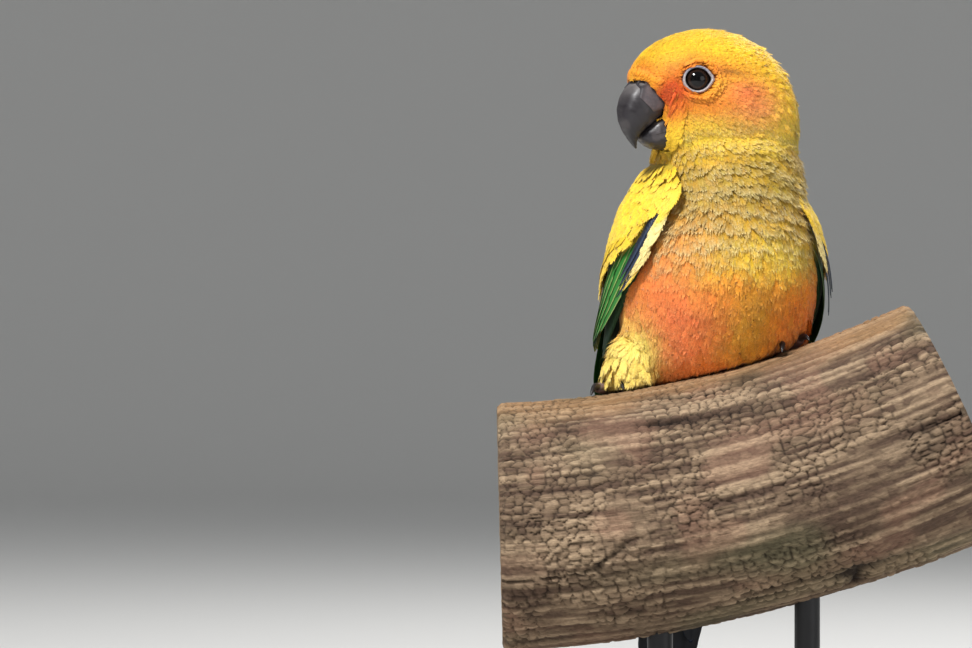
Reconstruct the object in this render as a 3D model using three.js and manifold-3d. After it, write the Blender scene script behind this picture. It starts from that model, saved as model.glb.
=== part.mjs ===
// A life-size sun conure at rest on a short cut length of a thick branch, on a plain display stand.
// Millimetres, +Z up. The origin is the centre of the stand base's underside. Azimuth 0 looks along +Y,
// at the bird's breast; +X is the bird's left.
import * as THREE from 'three';
import { mergeVertices } from 'three/addons/utils/BufferGeometryUtils.js';
import Module from 'manifold-3d';

const wasm = await Module();
wasm.setup();

// Driving sizes.
const GAP = 0.3; // between pieces that touch
const BODY_YAW = 12; // degrees, breast turned towards +X
const HEAD_TURN = -72; // degrees, head turned over the bird's right shoulder, from the body
const BODY_CENTRE = new THREE.Vector3(2.5, 15, 0); // from the perch's crest
const HEAD_CENTRE = new THREE.Vector3(0.4, 4, 90); // from the perch's crest
const TAIL_PITCH = 66; // degrees below the horizon
const TAIL_LENGTH = 115; // clear of the tail coverts
const TAIL_ROOT = new THREE.Vector3(0, 31, -18); // in the body's frame
const TAIL_CLEAR = 6; // from the tail's tip to the base
const VANE = 0.6; // thickness of a feather's vane
const LAYER = VANE + GAP; // from one vane to the next one over it
const BRANCH_RADIUS = 39;
const PERCH_SHIFT = new THREE.Vector2(-8, -14); // crest above the stand's centre, seen from above
const BASE = { width: 150, depth: 130, thick: 10, corner: 14, bevel: 1.2 };
const ROD_RADIUS = 4;
const ROD_SPREAD = 46; // between the two rods

const rad = THREE.MathUtils.degToRad;
const lerp = THREE.MathUtils.lerp;
const vec = (x, y, z) => new THREE.Vector3(x, y, z);

const TAIL_DOWN = vec(0, Math.cos(rad(TAIL_PITCH)), -Math.sin(rad(TAIL_PITCH)));
const TAIL_BACK = vec(0, Math.sin(rad(TAIL_PITCH)), Math.cos(rad(TAIL_PITCH)));
const TAIL_DROP = -(TAIL_ROOT.z + TAIL_DOWN.z * TAIL_LENGTH);
const CREST_HEIGHT = BASE.thick + TAIL_CLEAR + TAIL_DROP;

const finish = {
  yellow: new THREE.MeshStandardMaterial({ color: 0xf2b81c, roughness: 0.85 }),
  orange: new THREE.MeshStandardMaterial({ color: 0xe8752a, roughness: 0.85 }),
  green: new THREE.MeshStandardMaterial({ color: 0x2f7a35, roughness: 0.7 }),
  olive: new THREE.MeshStandardMaterial({ color: 0x5b6b2a, roughness: 0.7 }),
  horn: new THREE.MeshStandardMaterial({ color: 0x25222a, roughness: 0.35 }),
  bareSkin: new THREE.MeshStandardMaterial({ color: 0xc9c5cc, roughness: 0.6 }),
  eye: new THREE.MeshStandardMaterial({ color: 0x120d0c, roughness: 0.05 }),
  scute: new THREE.MeshStandardMaterial({ color: 0x6d5355, roughness: 0.6 }),
  wood: new THREE.MeshStandardMaterial({ color: 0x7c6a58, roughness: 0.9 }),
  plate: new THREE.MeshStandardMaterial({ color: 0x2b2b2d, roughness: 0.45, metalness: 0.6 }),
};

// Solids: from a closed geometry, moved, joined, and back to a geometry.
function solid(geometry, tolerance = 1e-4) {
  const bare = geometry.index ? geometry.toNonIndexed() : geometry.clone();
  bare.deleteAttribute('normal');
  bare.deleteAttribute('uv');
  const merged = mergeVertices(bare, tolerance);
  return new wasm.Manifold(
    new wasm.Mesh({
      numProp: 3,
      vertProperties: merged.attributes.position.array,
      triVerts: new Uint32Array(merged.index.array),
    }),
  );
}

const moved = (shape, matrix) => shape.transform(matrix.elements);
const joined = (shapes) => shapes.reduce((all, next) => all.add(next));
const largest = (shape) => shape.decompose().reduce((a, b) => (b.volume() > a.volume() ? b : a));

function geometryOf(shape) {
  const mesh = shape.getMesh();
  const geometry = new THREE.BufferGeometry();
  geometry.setAttribute('position', new THREE.BufferAttribute(mesh.vertProperties, 3));
  geometry.setIndex(new THREE.BufferAttribute(mesh.triVerts, 1));
  return geometry;
}

// Slivers left by the cuts go when the vertices are merged, so the largest body is taken before and after.
function pieceOf(name, shape, material) {
  const geometry = geometryOf(largest(solid(geometryOf(largest(shape)), 2e-3)));
  geometry.computeVertexNormals();
  const piece = new THREE.Mesh(geometry, material);
  piece.name = name;
  return piece;
}

// A closed surface through rings of points, each end closed on its ring's middle.
function loft(rings) {
  const around = rings[0].length;
  const middle = (ring) => ring.reduce((sum, p) => sum.add(p), vec(0, 0, 0)).divideScalar(around);
  const points = [...rings.flat(), middle(rings[0]), middle(rings.at(-1))];
  const faces = [];
  for (let i = 0; i < rings.length - 1; i++) {
    for (let j = 0; j < around; j++) {
      const a = i * around + j;
      const b = i * around + ((j + 1) % around);
      faces.push(a, b, b + around, a, b + around, a + around);
    }
  }
  const last = (rings.length - 1) * around;
  for (let j = 0; j < around; j++) {
    const k = (j + 1) % around;
    faces.push(points.length - 2, k, j, points.length - 1, last + j, last + k);
  }
  const geometry = new THREE.BufferGeometry().setFromPoints(points);
  geometry.setIndex(faces);
  const shape = solid(geometry);
  if (shape.volume() > 0) return shape;
  geometry.setIndex(faces.reverse());
  return solid(geometry);
}

// Rows of numbers as smooth functions of the first column.
function smoothTable(rows) {
  const keys = rows.map((row) => row[0]);
  const columns = rows[0].slice(1).map((_, c) => rows.map((row) => row[c + 1]));
  const rising = keys.at(-1) > keys[0];
  return (key) => {
    let i = 0;
    while (i < keys.length - 2 && (rising ? key > keys[i + 1] : key < keys[i + 1])) i++;
    const t = THREE.MathUtils.clamp((key - keys[i]) / (keys[i + 1] - keys[i]), 0, 1);
    return columns.map((column) => {
      const at = (n) => column[THREE.MathUtils.clamp(n, 0, column.length - 1)];
      const [p, q, r, s] = [at(i - 1), at(i), at(i + 1), at(i + 2)];
      const rise = (r - p) / 2;
      const fall = (s - q) / 2;
      return q + t * (rise + t * (3 * (r - q) - 2 * rise - fall + t * (2 * (q - r) + rise + fall)));
    });
  };
}

const span = (from, to, count) => Array.from({ length: count }, (_, i) => lerp(from, to, i / (count - 1)));
const turns = (count) => span(0, 2 * Math.PI, count + 1).slice(0, -1);

// The branch: a bent, slightly lumpy log whose crest rises towards +X.
const branchAxis = new THREE.QuadraticBezierCurve3(
  vec(-65, 0, -43.6),
  vec(6.8, 0, -41.8),
  vec(78.3, 0, -8.9),
);

function branchShape(grow = 0) {
  const rings = span(0, 1, 12).map((t) => {
    const centre = branchAxis.getPoint(t);
    const forward = branchAxis.getTangent(t);
    const up = vec(-forward.z, 0, forward.x);
    const end = grow * ((t === 1) - (t === 0));
    return turns(26).map((a) => {
      const lumps = 0.022 * Math.sin(2 * a + 0.9 + 2.2 * t) + 0.016 * Math.sin(3 * a - 5 * t);
      const smoothTop = 1 - THREE.MathUtils.smoothstep(Math.sin(a), 0, 0.75);
      const radius = BRANCH_RADIUS * (1 + lumps * smoothTop) + grow;
      return centre.clone().addScaledVector(forward, end).addScaledVector(up, radius * Math.sin(a))
        .add(vec(0, radius * Math.cos(a), 0));
    });
  });
  return loft(rings);
}

// Height of the wood over a point of the perch's frame.
function woodTop(x, y) {
  let low = 0;
  let high = 1;
  for (let i = 0; i < 30; i++) {
    const t = (low + high) / 2;
    const forward = branchAxis.getTangent(t);
    const top = branchAxis.getPoint(t).add(vec(-forward.z, 0, forward.x).multiplyScalar(BRANCH_RADIUS));
    if (top.x < x) low = t;
    else high = t;
  }
  const forward = branchAxis.getTangent(low);
  const drop = BRANCH_RADIUS - Math.sqrt(BRANCH_RADIUS ** 2 - y ** 2);
  const centre = branchAxis.getPoint(low);
  return centre.z + (BRANCH_RADIUS - drop) * forward.x + (x - centre.x + (BRANCH_RADIUS - drop) * forward.z)
    * (forward.z / forward.x);
}

// The trunk, from the tail coverts to inside the head: height, middle x and y, half width, half depth.
const trunkAt = smoothTable([
  [-27, 0, 34.5, 10.5, 7.2],
  [-20, 0, 30.5, 12.8, 9.4],
  [-13, 0, 25, 16, 12.5],
  [-6, 0, 17, 20.5, 19],
  [2, 0, 8, 25.5, 26],
  [9, 0, 4, 28.6, 28.5],
  [18, 0, 0, 31, 30],
  [28, 0, -3.2, 32.2, 30.6],
  [38, 0, -5.2, 32, 29.8],
  [47, 0, -5.8, 30.6, 28],
  [55, 1, -6, 28, 25.5],
  [62, 2, -6, 25.8, 23.5],
  [69, 2.2, -6.5, 24.6, 21.5],
  [76, 1, -8, 22.5, 20],
  [82, -1, -9, 17, 16],
]);

function trunkShape(grow = 0) {
  const heights = [-27, -21, -14, -7, 0, 7, 14, 22, 30, 38, 46, 54, 62, 69, 75, 80];
  const rings = heights.map((z) => {
    const [cx, cy, halfWidth, halfDepth] = trunkAt(z);
    return turns(28).map((a) => vec(
      cx + (halfWidth + grow) * Math.cos(a),
      cy + (halfDepth + grow) * Math.sin(a),
      z,
    ));
  });
  return loft(rings);
}

// The head, in its own frame: +X forward along the bill, +Y its left, +Z up. Each row is a ring: forward and
// up of its highest and of its lowest point, its half width, and how far the face is drawn in at the bill.
const HEAD_RINGS = [
  [-29, 0, -29, -20, 7, 0],
  [-26.5, 7, -26.5, -23, 12.5, 0],
  [-22, 13.6, -22, -24.5, 16.6, 0],
  [-15.5, 18.6, -15.5, -25, 19.4, 0],
  [-8, 21.7, -8, -25, 20.6, 0],
  [-1, 22.8, -1, -24, 20.6, 0],
  [6, 22.5, 4.5, -22.6, 19.3, 0],
  [12.4, 20.9, 9.5, -20.8, 17.4, 0.04],
  [17.8, 18.8, 12.8, -19.4, 15.4, 0.16],
  [22.4, 15.9, 15.6, -17.9, 13.1, 0.34],
  [25.9, 12.4, 17.7, -16.6, 10.7, 0.52],
  [28.1, 8.8, 19.2, -15.2, 8.2, 0.6],
  [29.1, 5.8, 20, -13.6, 5.6, 0.5],
];

function ringPoints([fTop, uTop, fLow, uLow, halfWidth, drawn = 0], grow, around, squareness = 1) {
  const top = vec(fTop, 0, uTop);
  const low = vec(fLow, 0, uLow);
  const middle = top.clone().add(low).multiplyScalar(0.5);
  const half = top.clone().sub(middle);
  half.setLength(half.length() + grow);
  return turns(around).map((a) => {
    const rise = Math.sin(a);
    const width = halfWidth * (1 - drawn * (1 - THREE.MathUtils.smoothstep(rise, -0.3, 0.6))) + grow;
    const across = Math.sign(Math.cos(a)) * Math.abs(Math.cos(a)) ** squareness;
    return middle.clone().addScaledVector(half, rise).add(vec(0, width * across, 0));
  });
}

const headShape = (grow = 0) => loft(HEAD_RINGS.map((ring) => ringPoints(ring, grow, 24)));

// The bill, in the head's frame. Each row is a ring: forward and up of its upper and of its lower point,
// and its half width.
const UPPER_BILL = [
  [25.5, 6.2, 15, -2.4, 5.8],
  [28.6, 4.2, 18.2, -4.6, 6.3],
  [30.8, 1.4, 21.4, -7, 6.1],
  [32.1, -2, 23.8, -8.8, 5.4],
  [32.3, -5.4, 25.4, -10.3, 4.4],
  [31.6, -8.6, 26.4, -11.7, 3.2],
  [30.2, -11.4, 26.9, -13.1, 2.1],
  [28.5, -13.8, 26.9, -14.5, 1.1],
  [27, -15.6, 26.6, -15.5, 0.35],
];
const LOWER_BILL = [
  [13, -3.6, 12.5, -14.4, 5.2],
  [17.4, -3.8, 16.5, -15.6, 5.9],
  [20.6, -5.8, 20, -15.5, 5.6],
  [23, -8, 22.6, -14.7, 4.5],
  [24.8, -9.8, 24.5, -13.6, 3],
  [25.9, -11.8, 25.7, -12.6, 1.4],
];

const billShape = (rows, grow = 0) => loft(rows.map((ring) => ringPoints(ring, grow, 14, 0.62)));

// Eyes, in the head's frame, for the side that y points to.
const EYE = {
  at: vec(11.4, 10.7, 5.6),
  out: vec(0.44, 0.89, 0.06).normalize(),
  radius: 4.9,
  opening: 3.5,
  rim: 5.2,
};

function eyeFrame(side) {
  const out = EYE.out.clone().multiply(vec(1, side, 1));
  const turn = new THREE.Quaternion().setFromUnitVectors(vec(0, 0, 1), out);
  return new THREE.Matrix4().compose(EYE.at.clone().multiply(vec(1, side, 1)), turn, vec(1, 1, 1));
}

function turned(profile) {
  const points = profile.map(([r, z]) => new THREE.Vector2(r, z));
  const shape = solid(new THREE.LatheGeometry(points, 20));
  return moved(shape, new THREE.Matrix4().makeRotationX(Math.PI / 2));
}

const eyeballShape = () => solid(new THREE.SphereGeometry(EYE.radius, 16, 10).rotateX(Math.PI / 2));

// The bare ring of lid skin, a dished washer over the front of the eyeball, and the socket for both.
const LID_SEAT = Math.sqrt((EYE.radius + GAP) ** 2 - EYE.opening ** 2) + 0.15;

function eyelidShape() {
  const { opening, rim } = EYE;
  return turned([
    [opening, LID_SEAT], [rim - 0.5, LID_SEAT - 1.75], [rim, LID_SEAT - 1.4], [rim, LID_SEAT - 0.7],
    [rim - 0.7, LID_SEAT], [opening + 0.5, LID_SEAT + 0.75], [opening, LID_SEAT + 0.5], [opening, LID_SEAT],
  ]);
}

const socketShape = () => turned([
  [0, -5.4], [2.6, -5.2], [4.4, -3.2], [EYE.rim + GAP, -1.2], [EYE.rim + GAP, 12], [0, 12],
]);

// A big block from one height to another over a plane.
function block(point, normal, from, to) {
  const size = 400;
  const shape = solid(new THREE.BoxGeometry(size, size, to - from));
  const turn = new THREE.Quaternion().setFromUnitVectors(vec(0, 0, 1), normal.clone().normalize());
  const centre = point.clone().addScaledVector(normal.clone().normalize(), (from + to) / 2);
  return moved(shape, new THREE.Matrix4().compose(centre, turn, vec(1, 1, 1)));
}

// A feather's vane. Each station is a middle, a sideways unit vector, an outward normal and a half width.
function vaneShape(stations, thick = VANE) {
  const corners = stations.flatMap(({ middle, side, out, half }, i) => {
    const t = i === stations.length - 1 ? thick * 0.8 : thick;
    return [[-1, 0.5], [1, 0.5], [1, -0.5], [-1, -0.5]].map(([s, o]) => middle.clone()
      .addScaledVector(side, s * half)
      .addScaledVector(out, o * t));
  });
  const faces = [];
  for (let i = 0; i < stations.length - 1; i++) {
    const [a, b, c, d] = [0, 1, 2, 3].map((n) => 4 * i + n);
    const [e, f, g, h] = [a, b, c, d].map((n) => n + 4);
    faces.push(a, b, f, a, f, e, c, d, g, d, h, g, b, c, g, b, g, f, d, a, e, d, e, h);
  }
  const z = 4 * (stations.length - 1);
  faces.push(0, 3, 2, 0, 2, 1, z, z + 1, z + 2, z, z + 2, z + 3);
  const geometry = new THREE.BufferGeometry().setFromPoints(corners);
  geometry.setIndex(faces);
  const shape = solid(geometry);
  if (shape.volume() > 0) return shape;
  geometry.setIndex(faces.reverse());
  return solid(geometry);
}

// Share of a feather's full half width along its length, from root to tip.
const PRIMARY_OUTLINE = [[0, 0.75], [0.35, 1], [0.7, 0.95], [0.92, 0.62], [1, 0.2]];
const COVERT_OUTLINE = [[0, 0.85], [0.5, 1], [0.84, 0.9], [1, 0.42]];
const TAIL_OUTLINE = [[0, 0.5], [0.3, 0.75], [0.66, 1], [0.9, 0.66], [1, 0.18]];

// The wing lies on a surface round the flank: height, middle y, half width, half depth, and the angles from
// straight ahead of its leading and trailing edges.
const wingAt = smoothTable([
  [-76, 57.5, 19.6, 11.5, 106, 124],
  [-60, 50.5, 20.6, 13, 105, 130],
  [-45, 43, 22.2, 15, 104, 137],
  [-25, 32, 26.8, 17.5, 103, 145],
  [-10, 24, 30.5, 20.5, 101, 155],
  [0, 18, 33.8, 23.5, 98, 164],
  [8, 12.5, 35.8, 26.5, 91, 168],
  [16, 7, 37, 29.8, 81, 170],
  [26, 1.4, 37.4, 32.6, 69, 170],
  [36, -3, 36.6, 33.6, 60, 167],
  [45, -5, 35.2, 32, 53, 163],
  [54, -6, 31.8, 29.2, 48, 158],
  [61, -6.2, 27.8, 26.2, 45, 151],
  [66, -6.4, 24.6, 23.4, 50, 144],
  [69, -6.6, 22, 21, 58, 136],
]);

// side is 1 for the left wing. lead opens the leading edge, lift raises the wing, flare holds its tip out.
function wingFrame({ side, lead, lift, flare }) {
  return (across, z, depth = 0) => {
    const [cy, halfWidth, halfDepth, leading, trailing] = wingAt(z);
    const opened = leading + lead * THREE.MathUtils.smoothstep(z, 5, 60) * (1 - across);
    const angle = rad(lerp(opened, trailing, across));
    const out = vec(Math.sin(angle) / halfWidth, -Math.cos(angle) / halfDepth, 0).normalize();
    const wide = flare * (1 - THREE.MathUtils.smoothstep(z, -8, 28));
    const middle = vec((halfWidth + wide) * Math.sin(angle), cy - halfDepth * Math.cos(angle), z)
      .addScaledVector(out, -depth);
    return {
      middle: vec(side * middle.x, middle.y, middle.z + lift),
      out: vec(side * out.x, out.y, 0),
      side: vec(side * -out.y, out.x, 0),
    };
  };
}

// A tier of vanes from the leading edge back. Each leans so that its leading edge lies over its neighbour,
// and climbs as far as it must to stay a layer above it where the row draws together or turns.
function wingTier(surface, { row, first = 0, root, tip, half, depth, lean, outline }) {
  const pitch = row[1] - row[0];
  return row.slice(first).map((across, i, used) => {
    const s = i / (used.length - 1);
    return vaneShape(outline.map(([t, share]) => {
      const z = lerp(lerp(...root, s), lerp(...tip, s), t);
      const [here, next] = [surface(across - pitch / 2, z), surface(across + pitch / 2, z)];
      const step = here.middle.distanceTo(next.middle);
      const rise = lean * step - here.out.angleTo(next.out) * (half - step / 2);
      const climb = (i + first - (row.length - 1) / 2) * Math.max(0, LAYER - rise);
      const place = surface(across, z, lerp(...depth, t) - climb);
      return {
        middle: place.middle,
        out: place.out.clone().addScaledVector(place.side, lean).normalize(),
        side: place.side.clone().addScaledVector(place.out, -lean).normalize(),
        half: half * share,
      };
    }));
  });
}

// The tiers of a folded wing, from the innermost out. Coverts lie in step with the feathers under them.
const ARM_ROW = span(0.13, 0.92, 9);
const HAND_ROW = span(0.12, 0.74, 6);
const TIERS = [
  { row: HAND_ROW, root: [9, 14], tip: [-74, -20], half: 5.2, depth: [5.7, 3.4], lean: 0.22,
    outline: PRIMARY_OUTLINE },
  { row: ARM_ROW, first: 2, root: [17, 16], tip: [-13, -1], half: 5.4, depth: [4.8, 1.9], lean: 0.26,
    outline: COVERT_OUTLINE },
  { row: ARM_ROW, root: [37, 34], tip: [10, 8], half: 5.4, depth: [3, 0.8], lean: 0.26,
    outline: COVERT_OUTLINE },
  { row: ARM_ROW, root: [51, 48], tip: [32, 27], half: 5.4, depth: [2.2, 0.2], lean: 0.26,
    outline: COVERT_OUTLINE },
];

// The wing's arm with its small coverts, a shell that thins from the shoulder down: height, depth, thickness.
const armAt = smoothTable([[8, 4.8, 3], [18, 4.2, 3], [26, 3.2, 3], [34, 2, 4], [44, 1.7, 4.4], [50, 1, 4.8],
  [55, 0.2, 5.2], [62, 0, 4.6], [67, 0, 2.8], [69, 0.3, 1.4]]);

function armShape(surface) {
  const heights = [8, 18, 28, 38, 46, 52, 57, 63, 67, 69];
  const acrossSteps = span(0, 1, 8);
  const rings = heights.map((z) => {
    const [top, thick] = armAt(z);
    const round = (across) => Math.min(1, 0.25 + 4.5 * Math.min(across, 1 - across)) ** 0.6;
    const face = (side) => acrossSteps.map((across) => {
      const depth = top + thick * 0.5 * (1 + side * round(across));
      return surface(across, z, depth).middle;
    });
    return [...face(-1), ...face(1).reverse()];
  });
  return loft(rings);
}

function wingShape(set) {
  const surface = wingFrame(set);
  return joined([armShape(surface), ...TIERS.flatMap((tier) => wingTier(surface, tier))]);
}

// The tail: twelve feathers in pairs, the middle pair on top and longest, from a stub in the coverts.
const TAIL_SHARES = [1, 0.93, 0.84, 0.73, 0.62, 0.52];

function tailPlace(along, across, up) {
  return TAIL_ROOT.clone().addScaledVector(TAIL_DOWN, along).addScaledVector(TAIL_BACK, up)
    .add(vec(across, 0, 0));
}

function tailShape() {
  const ring = (along, halfWidth, halfThick) => turns(16)
    .map((a) => tailPlace(along, halfWidth * Math.cos(a), halfThick * Math.sin(a)));
  const pieces = [loft([ring(GAP, 10.4, 6.6), ring(8, 9.8, 6.2), ring(16, 8, 5.2), ring(20, 5, 3.6)])];
  TAIL_SHARES.forEach((share, pair) => [1, -1].forEach((side) => {
    const up = 4.6 - LAYER * (2 * pair + (side > 0 ? 0 : 1)) * 0.96;
    const stations = TAIL_OUTLINE.map(([s, width]) => ({
      middle: tailPlace(
        lerp(3, TAIL_LENGTH * share, s),
        side * lerp(1.2 + 0.5 * pair, 1.6 + 1.4 * pair, s),
        up,
      ),
      side: vec(1, 0, 0),
      out: TAIL_BACK,
      half: 6.6 * width,
    }));
    pieces.push(vaneShape(stations, VANE * 0.95));
  }));
  [1, -1].forEach((face) => [-0.8, 0.8, 0].forEach((spread) => {
    const stations = COVERT_OUTLINE.map(([s, width]) => ({
      middle: tailPlace(lerp(6, 36 - 8 * Math.abs(spread), s), 6 * spread * (1 - 0.2 * s),
        face * (lerp(3.6, 6.4, s) + (face < 0 ? 0.9 : 0) + LAYER * (spread ? 0 : 1))),
      side: vec(1, 0, 0),
      out: TAIL_BACK,
      half: 4.8 * width,
    }));
    pieces.push(vaneShape(stations));
  }));
  return joined(pieces);
}

// Legs: a feathered thigh, a short bare shank and a foot with two toes forward and two back.
const FEET = [
  { name: 'right', x: -29, y: 13, hip: vec(-19, 14, 16), thigh: vec(-24, 5, 9), turn: -8 },
  { name: 'left', x: 23.5, y: 14, hip: vec(13, 14, 25), thigh: vec(20.5, 3, 18.5), turn: 12 },
];
const TOES = [
  { heading: 16, length: 12.5, radius: 1.75 },
  { heading: -14, length: 15.5, radius: 1.9 },
  { heading: 162, length: 8.5, radius: 1.6 },
  { heading: -160, length: 13, radius: 1.8 },
];
const TOE_SWELL = [1.1, 0.95, 1.08, 0.9, 0.62]; // pads along a toe, as shares of its radius
const KNEE_RADIUS = 8.2; // feathers and all
const CLAW = { length: 6.2, radius: 1.15, tip: 0.7 };

function toePoint(foot, toe, along, rise) {
  const heading = rad(toe.heading + foot.turn);
  const x = foot.x + Math.sin(heading) * along;
  const y = foot.y - Math.cos(heading) * along;
  return vec(x, y, woodTop(x, y) + rise);
}

// A round body of changing radius along a curve through points, which nowhere runs along X.
function tube(points, radii, around) {
  const curve = new THREE.CatmullRomCurve3(points);
  const rings = radii.map((radius, i) => {
    const t = i / (radii.length - 1);
    const forward = curve.getTangent(t);
    const up = forward.clone().cross(vec(1, 0, 0)).normalize();
    const across = up.clone().cross(forward);
    return turns(around).map((a) => curve.getPoint(t)
      .addScaledVector(across, radius * Math.cos(a)).addScaledVector(up, radius * Math.sin(a)));
  });
  return loft(rings);
}

const toeRise = (toe) => toe.radius * TOE_SWELL[0] + GAP;

function toeShape(foot, toe) {
  const path = span(0, 1, 4).map((s) => toePoint(foot, toe, toe.length * s, toeRise(toe)));
  return tube(path, TOE_SWELL.map((share) => toe.radius * share), 6);
}

function clawShape(foot, toe, grow = 0) {
  const size = 0.75 + toe.length / 62;
  const rise = toeRise(toe);
  const profile = [[0, rise], [0.38, rise + 0.5], [0.75, rise - 0.4], [1, CLAW.tip]];
  const root = toe.length - 0.6;
  const path = profile.map(([s, height]) => toePoint(foot, toe, root + CLAW.length * size * s, height));
  return tube(path, [1, 0.92, 0.72, 0.46, 0.16].map((share) => CLAW.radius * size * share + grow), 8);
}

function thighShape(foot, grow = 0) {
  const ankle = vec(foot.x, foot.y - 1.5, woodTop(foot.x, foot.y) + 6);
  const grown = (radii) => radii.map((radius) => radius + grow);
  const knee = new THREE.SphereGeometry(KNEE_RADIUS + grow, 14, 9).translate(...foot.thigh);
  return joined([
    solid(knee),
    tube([foot.hip, foot.thigh], grown([6, 7.8, KNEE_RADIUS - 0.3]), 14),
    tube([foot.thigh, ankle], grown([KNEE_RADIUS - 0.3, 6.8, 3.2]), 14),
  ]);
}

function shankShape(foot, grow = 0) {
  const ground = woodTop(foot.x, foot.y);
  const ends = [vec(foot.x, foot.y - 0.6, ground + 9 + grow), vec(foot.x, foot.y, ground + 2.2)];
  return tube(ends, [2 + grow, 1.9 + grow, 2.2 + grow], 8);
}

// The room that a foot and its claws take up in the belly feathers: a square channel for each toe.
const gripRoom = (foot) => joined([shankShape(foot, GAP + 0.1), ...TOES.map((toe) => {
  const reach = toe.length + CLAW.length + 1;
  const path = span(-0.1, 1, 3).map((s) => toePoint(foot, toe, reach * s, 1.6));
  return tube(path, [3.8, 3.8, 3.8], 4);
})]);

// Stand.
function basePlate() {
  const { width, depth, thick, corner, bevel } = BASE;
  const outline = new THREE.Shape();
  const [x, y] = [width / 2 - bevel, depth / 2 - bevel];
  [[x, -y], [x, y], [-x, y], [-x, -y]].forEach(([cornerX, cornerY], i) => {
    const centre = [cornerX - corner * Math.sign(cornerX), cornerY - corner * Math.sign(cornerY)];
    outline.absarc(...centre, corner, (i - 1) * Math.PI / 2, i * Math.PI / 2);
  });
  const geometry = new THREE.ExtrudeGeometry(outline, {
    depth: thick - 2 * bevel,
    bevelThickness: bevel,
    bevelSize: bevel,
    bevelSegments: 1,
    curveSegments: 4,
  });
  geometry.translate(0, 0, bevel);
  return solid(geometry);
}

// A rod from the base into the branch, of which the lowest body is kept.
function rodShape(x, branch) {
  const geometry = new THREE.CylinderGeometry(ROD_RADIUS, ROD_RADIUS, CREST_HEIGHT, 16).rotateX(Math.PI / 2);
  geometry.translate(x, PERCH_SHIFT.y, BASE.thick + GAP + CREST_HEIGHT / 2);
  return solid(geometry).subtract(branch).decompose()
    .reduce((a, b) => (b.boundingBox().min[2] < a.boundingBox().min[2] ? b : a));
}

// Frames: the perch's crest, the body on it, the head on the body.
const perch = new THREE.Group();
perch.position.set(PERCH_SHIFT.x, PERCH_SHIFT.y, CREST_HEIGHT);
const body = new THREE.Group();
body.position.copy(BODY_CENTRE);
body.rotation.z = rad(BODY_YAW);
body.updateMatrix();
const bodyToPerch = body.matrix.clone();
const perchToBody = bodyToPerch.clone().invert();
const head = new THREE.Group();
head.position.copy(HEAD_CENTRE.clone().applyMatrix4(perchToBody));
head.rotation.z = rad(HEAD_TURN - 90);
head.updateMatrix();
const headToBody = head.matrix.clone();
const bodyToHead = headToBody.clone().invert();

const branch = branchShape();
const branchNear = branchShape(GAP + 0.05);
const branchNearBody = moved(branchNear, perchToBody);

// Head, neck and torso: modelled whole and parted by thin cuts.
const NECK_TOP = { point: vec(0, -6, 68.5), normal: vec(0.1, -0.02, 1) };
const NECK_FOOT = { point: vec(0, -6, 56.5), normal: vec(0, -0.16, 1) };
const flesh = trunkShape().add(moved(headShape(), headToBody));
const above = ({ point, normal }, gap = 0) => block(point, normal, gap, 200);
const below = ({ point, normal }, gap = 0) => block(point, normal, -200, -gap);

const legRoom = moved(joined(FEET.flatMap((foot) => [thighShape(foot, GAP), gripRoom(foot)])), perchToBody);
const tailSide = { point: TAIL_ROOT, normal: TAIL_DOWN };
const torso = flesh.intersect(below(NECK_FOOT, GAP / 2)).subtract(above(tailSide)).subtract(branchNearBody)
  .subtract(legRoom);
const neck = flesh.intersect(above(NECK_FOOT, GAP / 2)).intersect(below(NECK_TOP, GAP / 2));
const headWhole = moved(flesh.intersect(above(NECK_TOP, GAP / 2)), bodyToHead);

const upperNear = billShape(UPPER_BILL, GAP);
const lowerNear = billShape(LOWER_BILL, GAP);
const sockets = [1, -1].map((side) => moved(socketShape(), eyeFrame(side)));

// The cere, a saddle of bare skin over the root of the bill, with the two nostrils.
const cereAt = UPPER_BILL.slice(0, 3).map(([a, b, c, d, w], i) => [a, b, c, d, w + [0.5, 0.55, -0.4][i]]);
const cereShape = (grow = 0) => billShape(cereAt.map(([a, b, c, d, w], i) => {
  const rise = [0.7, 0.75, -0.2][i];
  return [a + rise * 0.5, b + rise, c, d, w];
}), grow).intersect(block(vec(0, 0, 0.6 - grow), vec(0.25, 0, 1), 0, 60))
  .intersect(block(vec(29.7 + grow, 0, 0), vec(-1, 0, -0.35), 0, 60));
const nostrils = [1, -1].map((side) => {
  const geometry = new THREE.CylinderGeometry(0.95, 0.7, 5, 12).rotateX(Math.PI / 2);
  const out = vec(0.35, side * 0.75, 0.6).normalize();
  const turn = new THREE.Quaternion().setFromUnitVectors(vec(0, 0, 1), out);
  return moved(solid(geometry), new THREE.Matrix4().compose(vec(26.9, side * 3.9, 4.4), turn, vec(1, 1, 1)));
});

const headNode = headWhole.subtract(joined([upperNear, lowerNear, cereShape(GAP), ...sockets]));
const upperBill = billShape(UPPER_BILL);
const lowerBill = billShape(LOWER_BILL).subtract(upperNear);
const cere = cereShape().subtract(upperNear).subtract(joined(nostrils));

head.add(
  pieceOf('head', headNode, finish.yellow),
  pieceOf('bill_upper', upperBill, finish.horn),
  pieceOf('bill_lower', lowerBill, finish.horn),
  pieceOf('cere', cere, finish.bareSkin),
);
[['left', 1], ['right', -1]].forEach(([name, side]) => head.add(
  pieceOf(`eye_${name}`, moved(eyeballShape(), eyeFrame(side)), finish.eye),
  pieceOf(`eyelid_${name}`, moved(eyelidShape(), eyeFrame(side)), finish.bareSkin),
));

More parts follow.
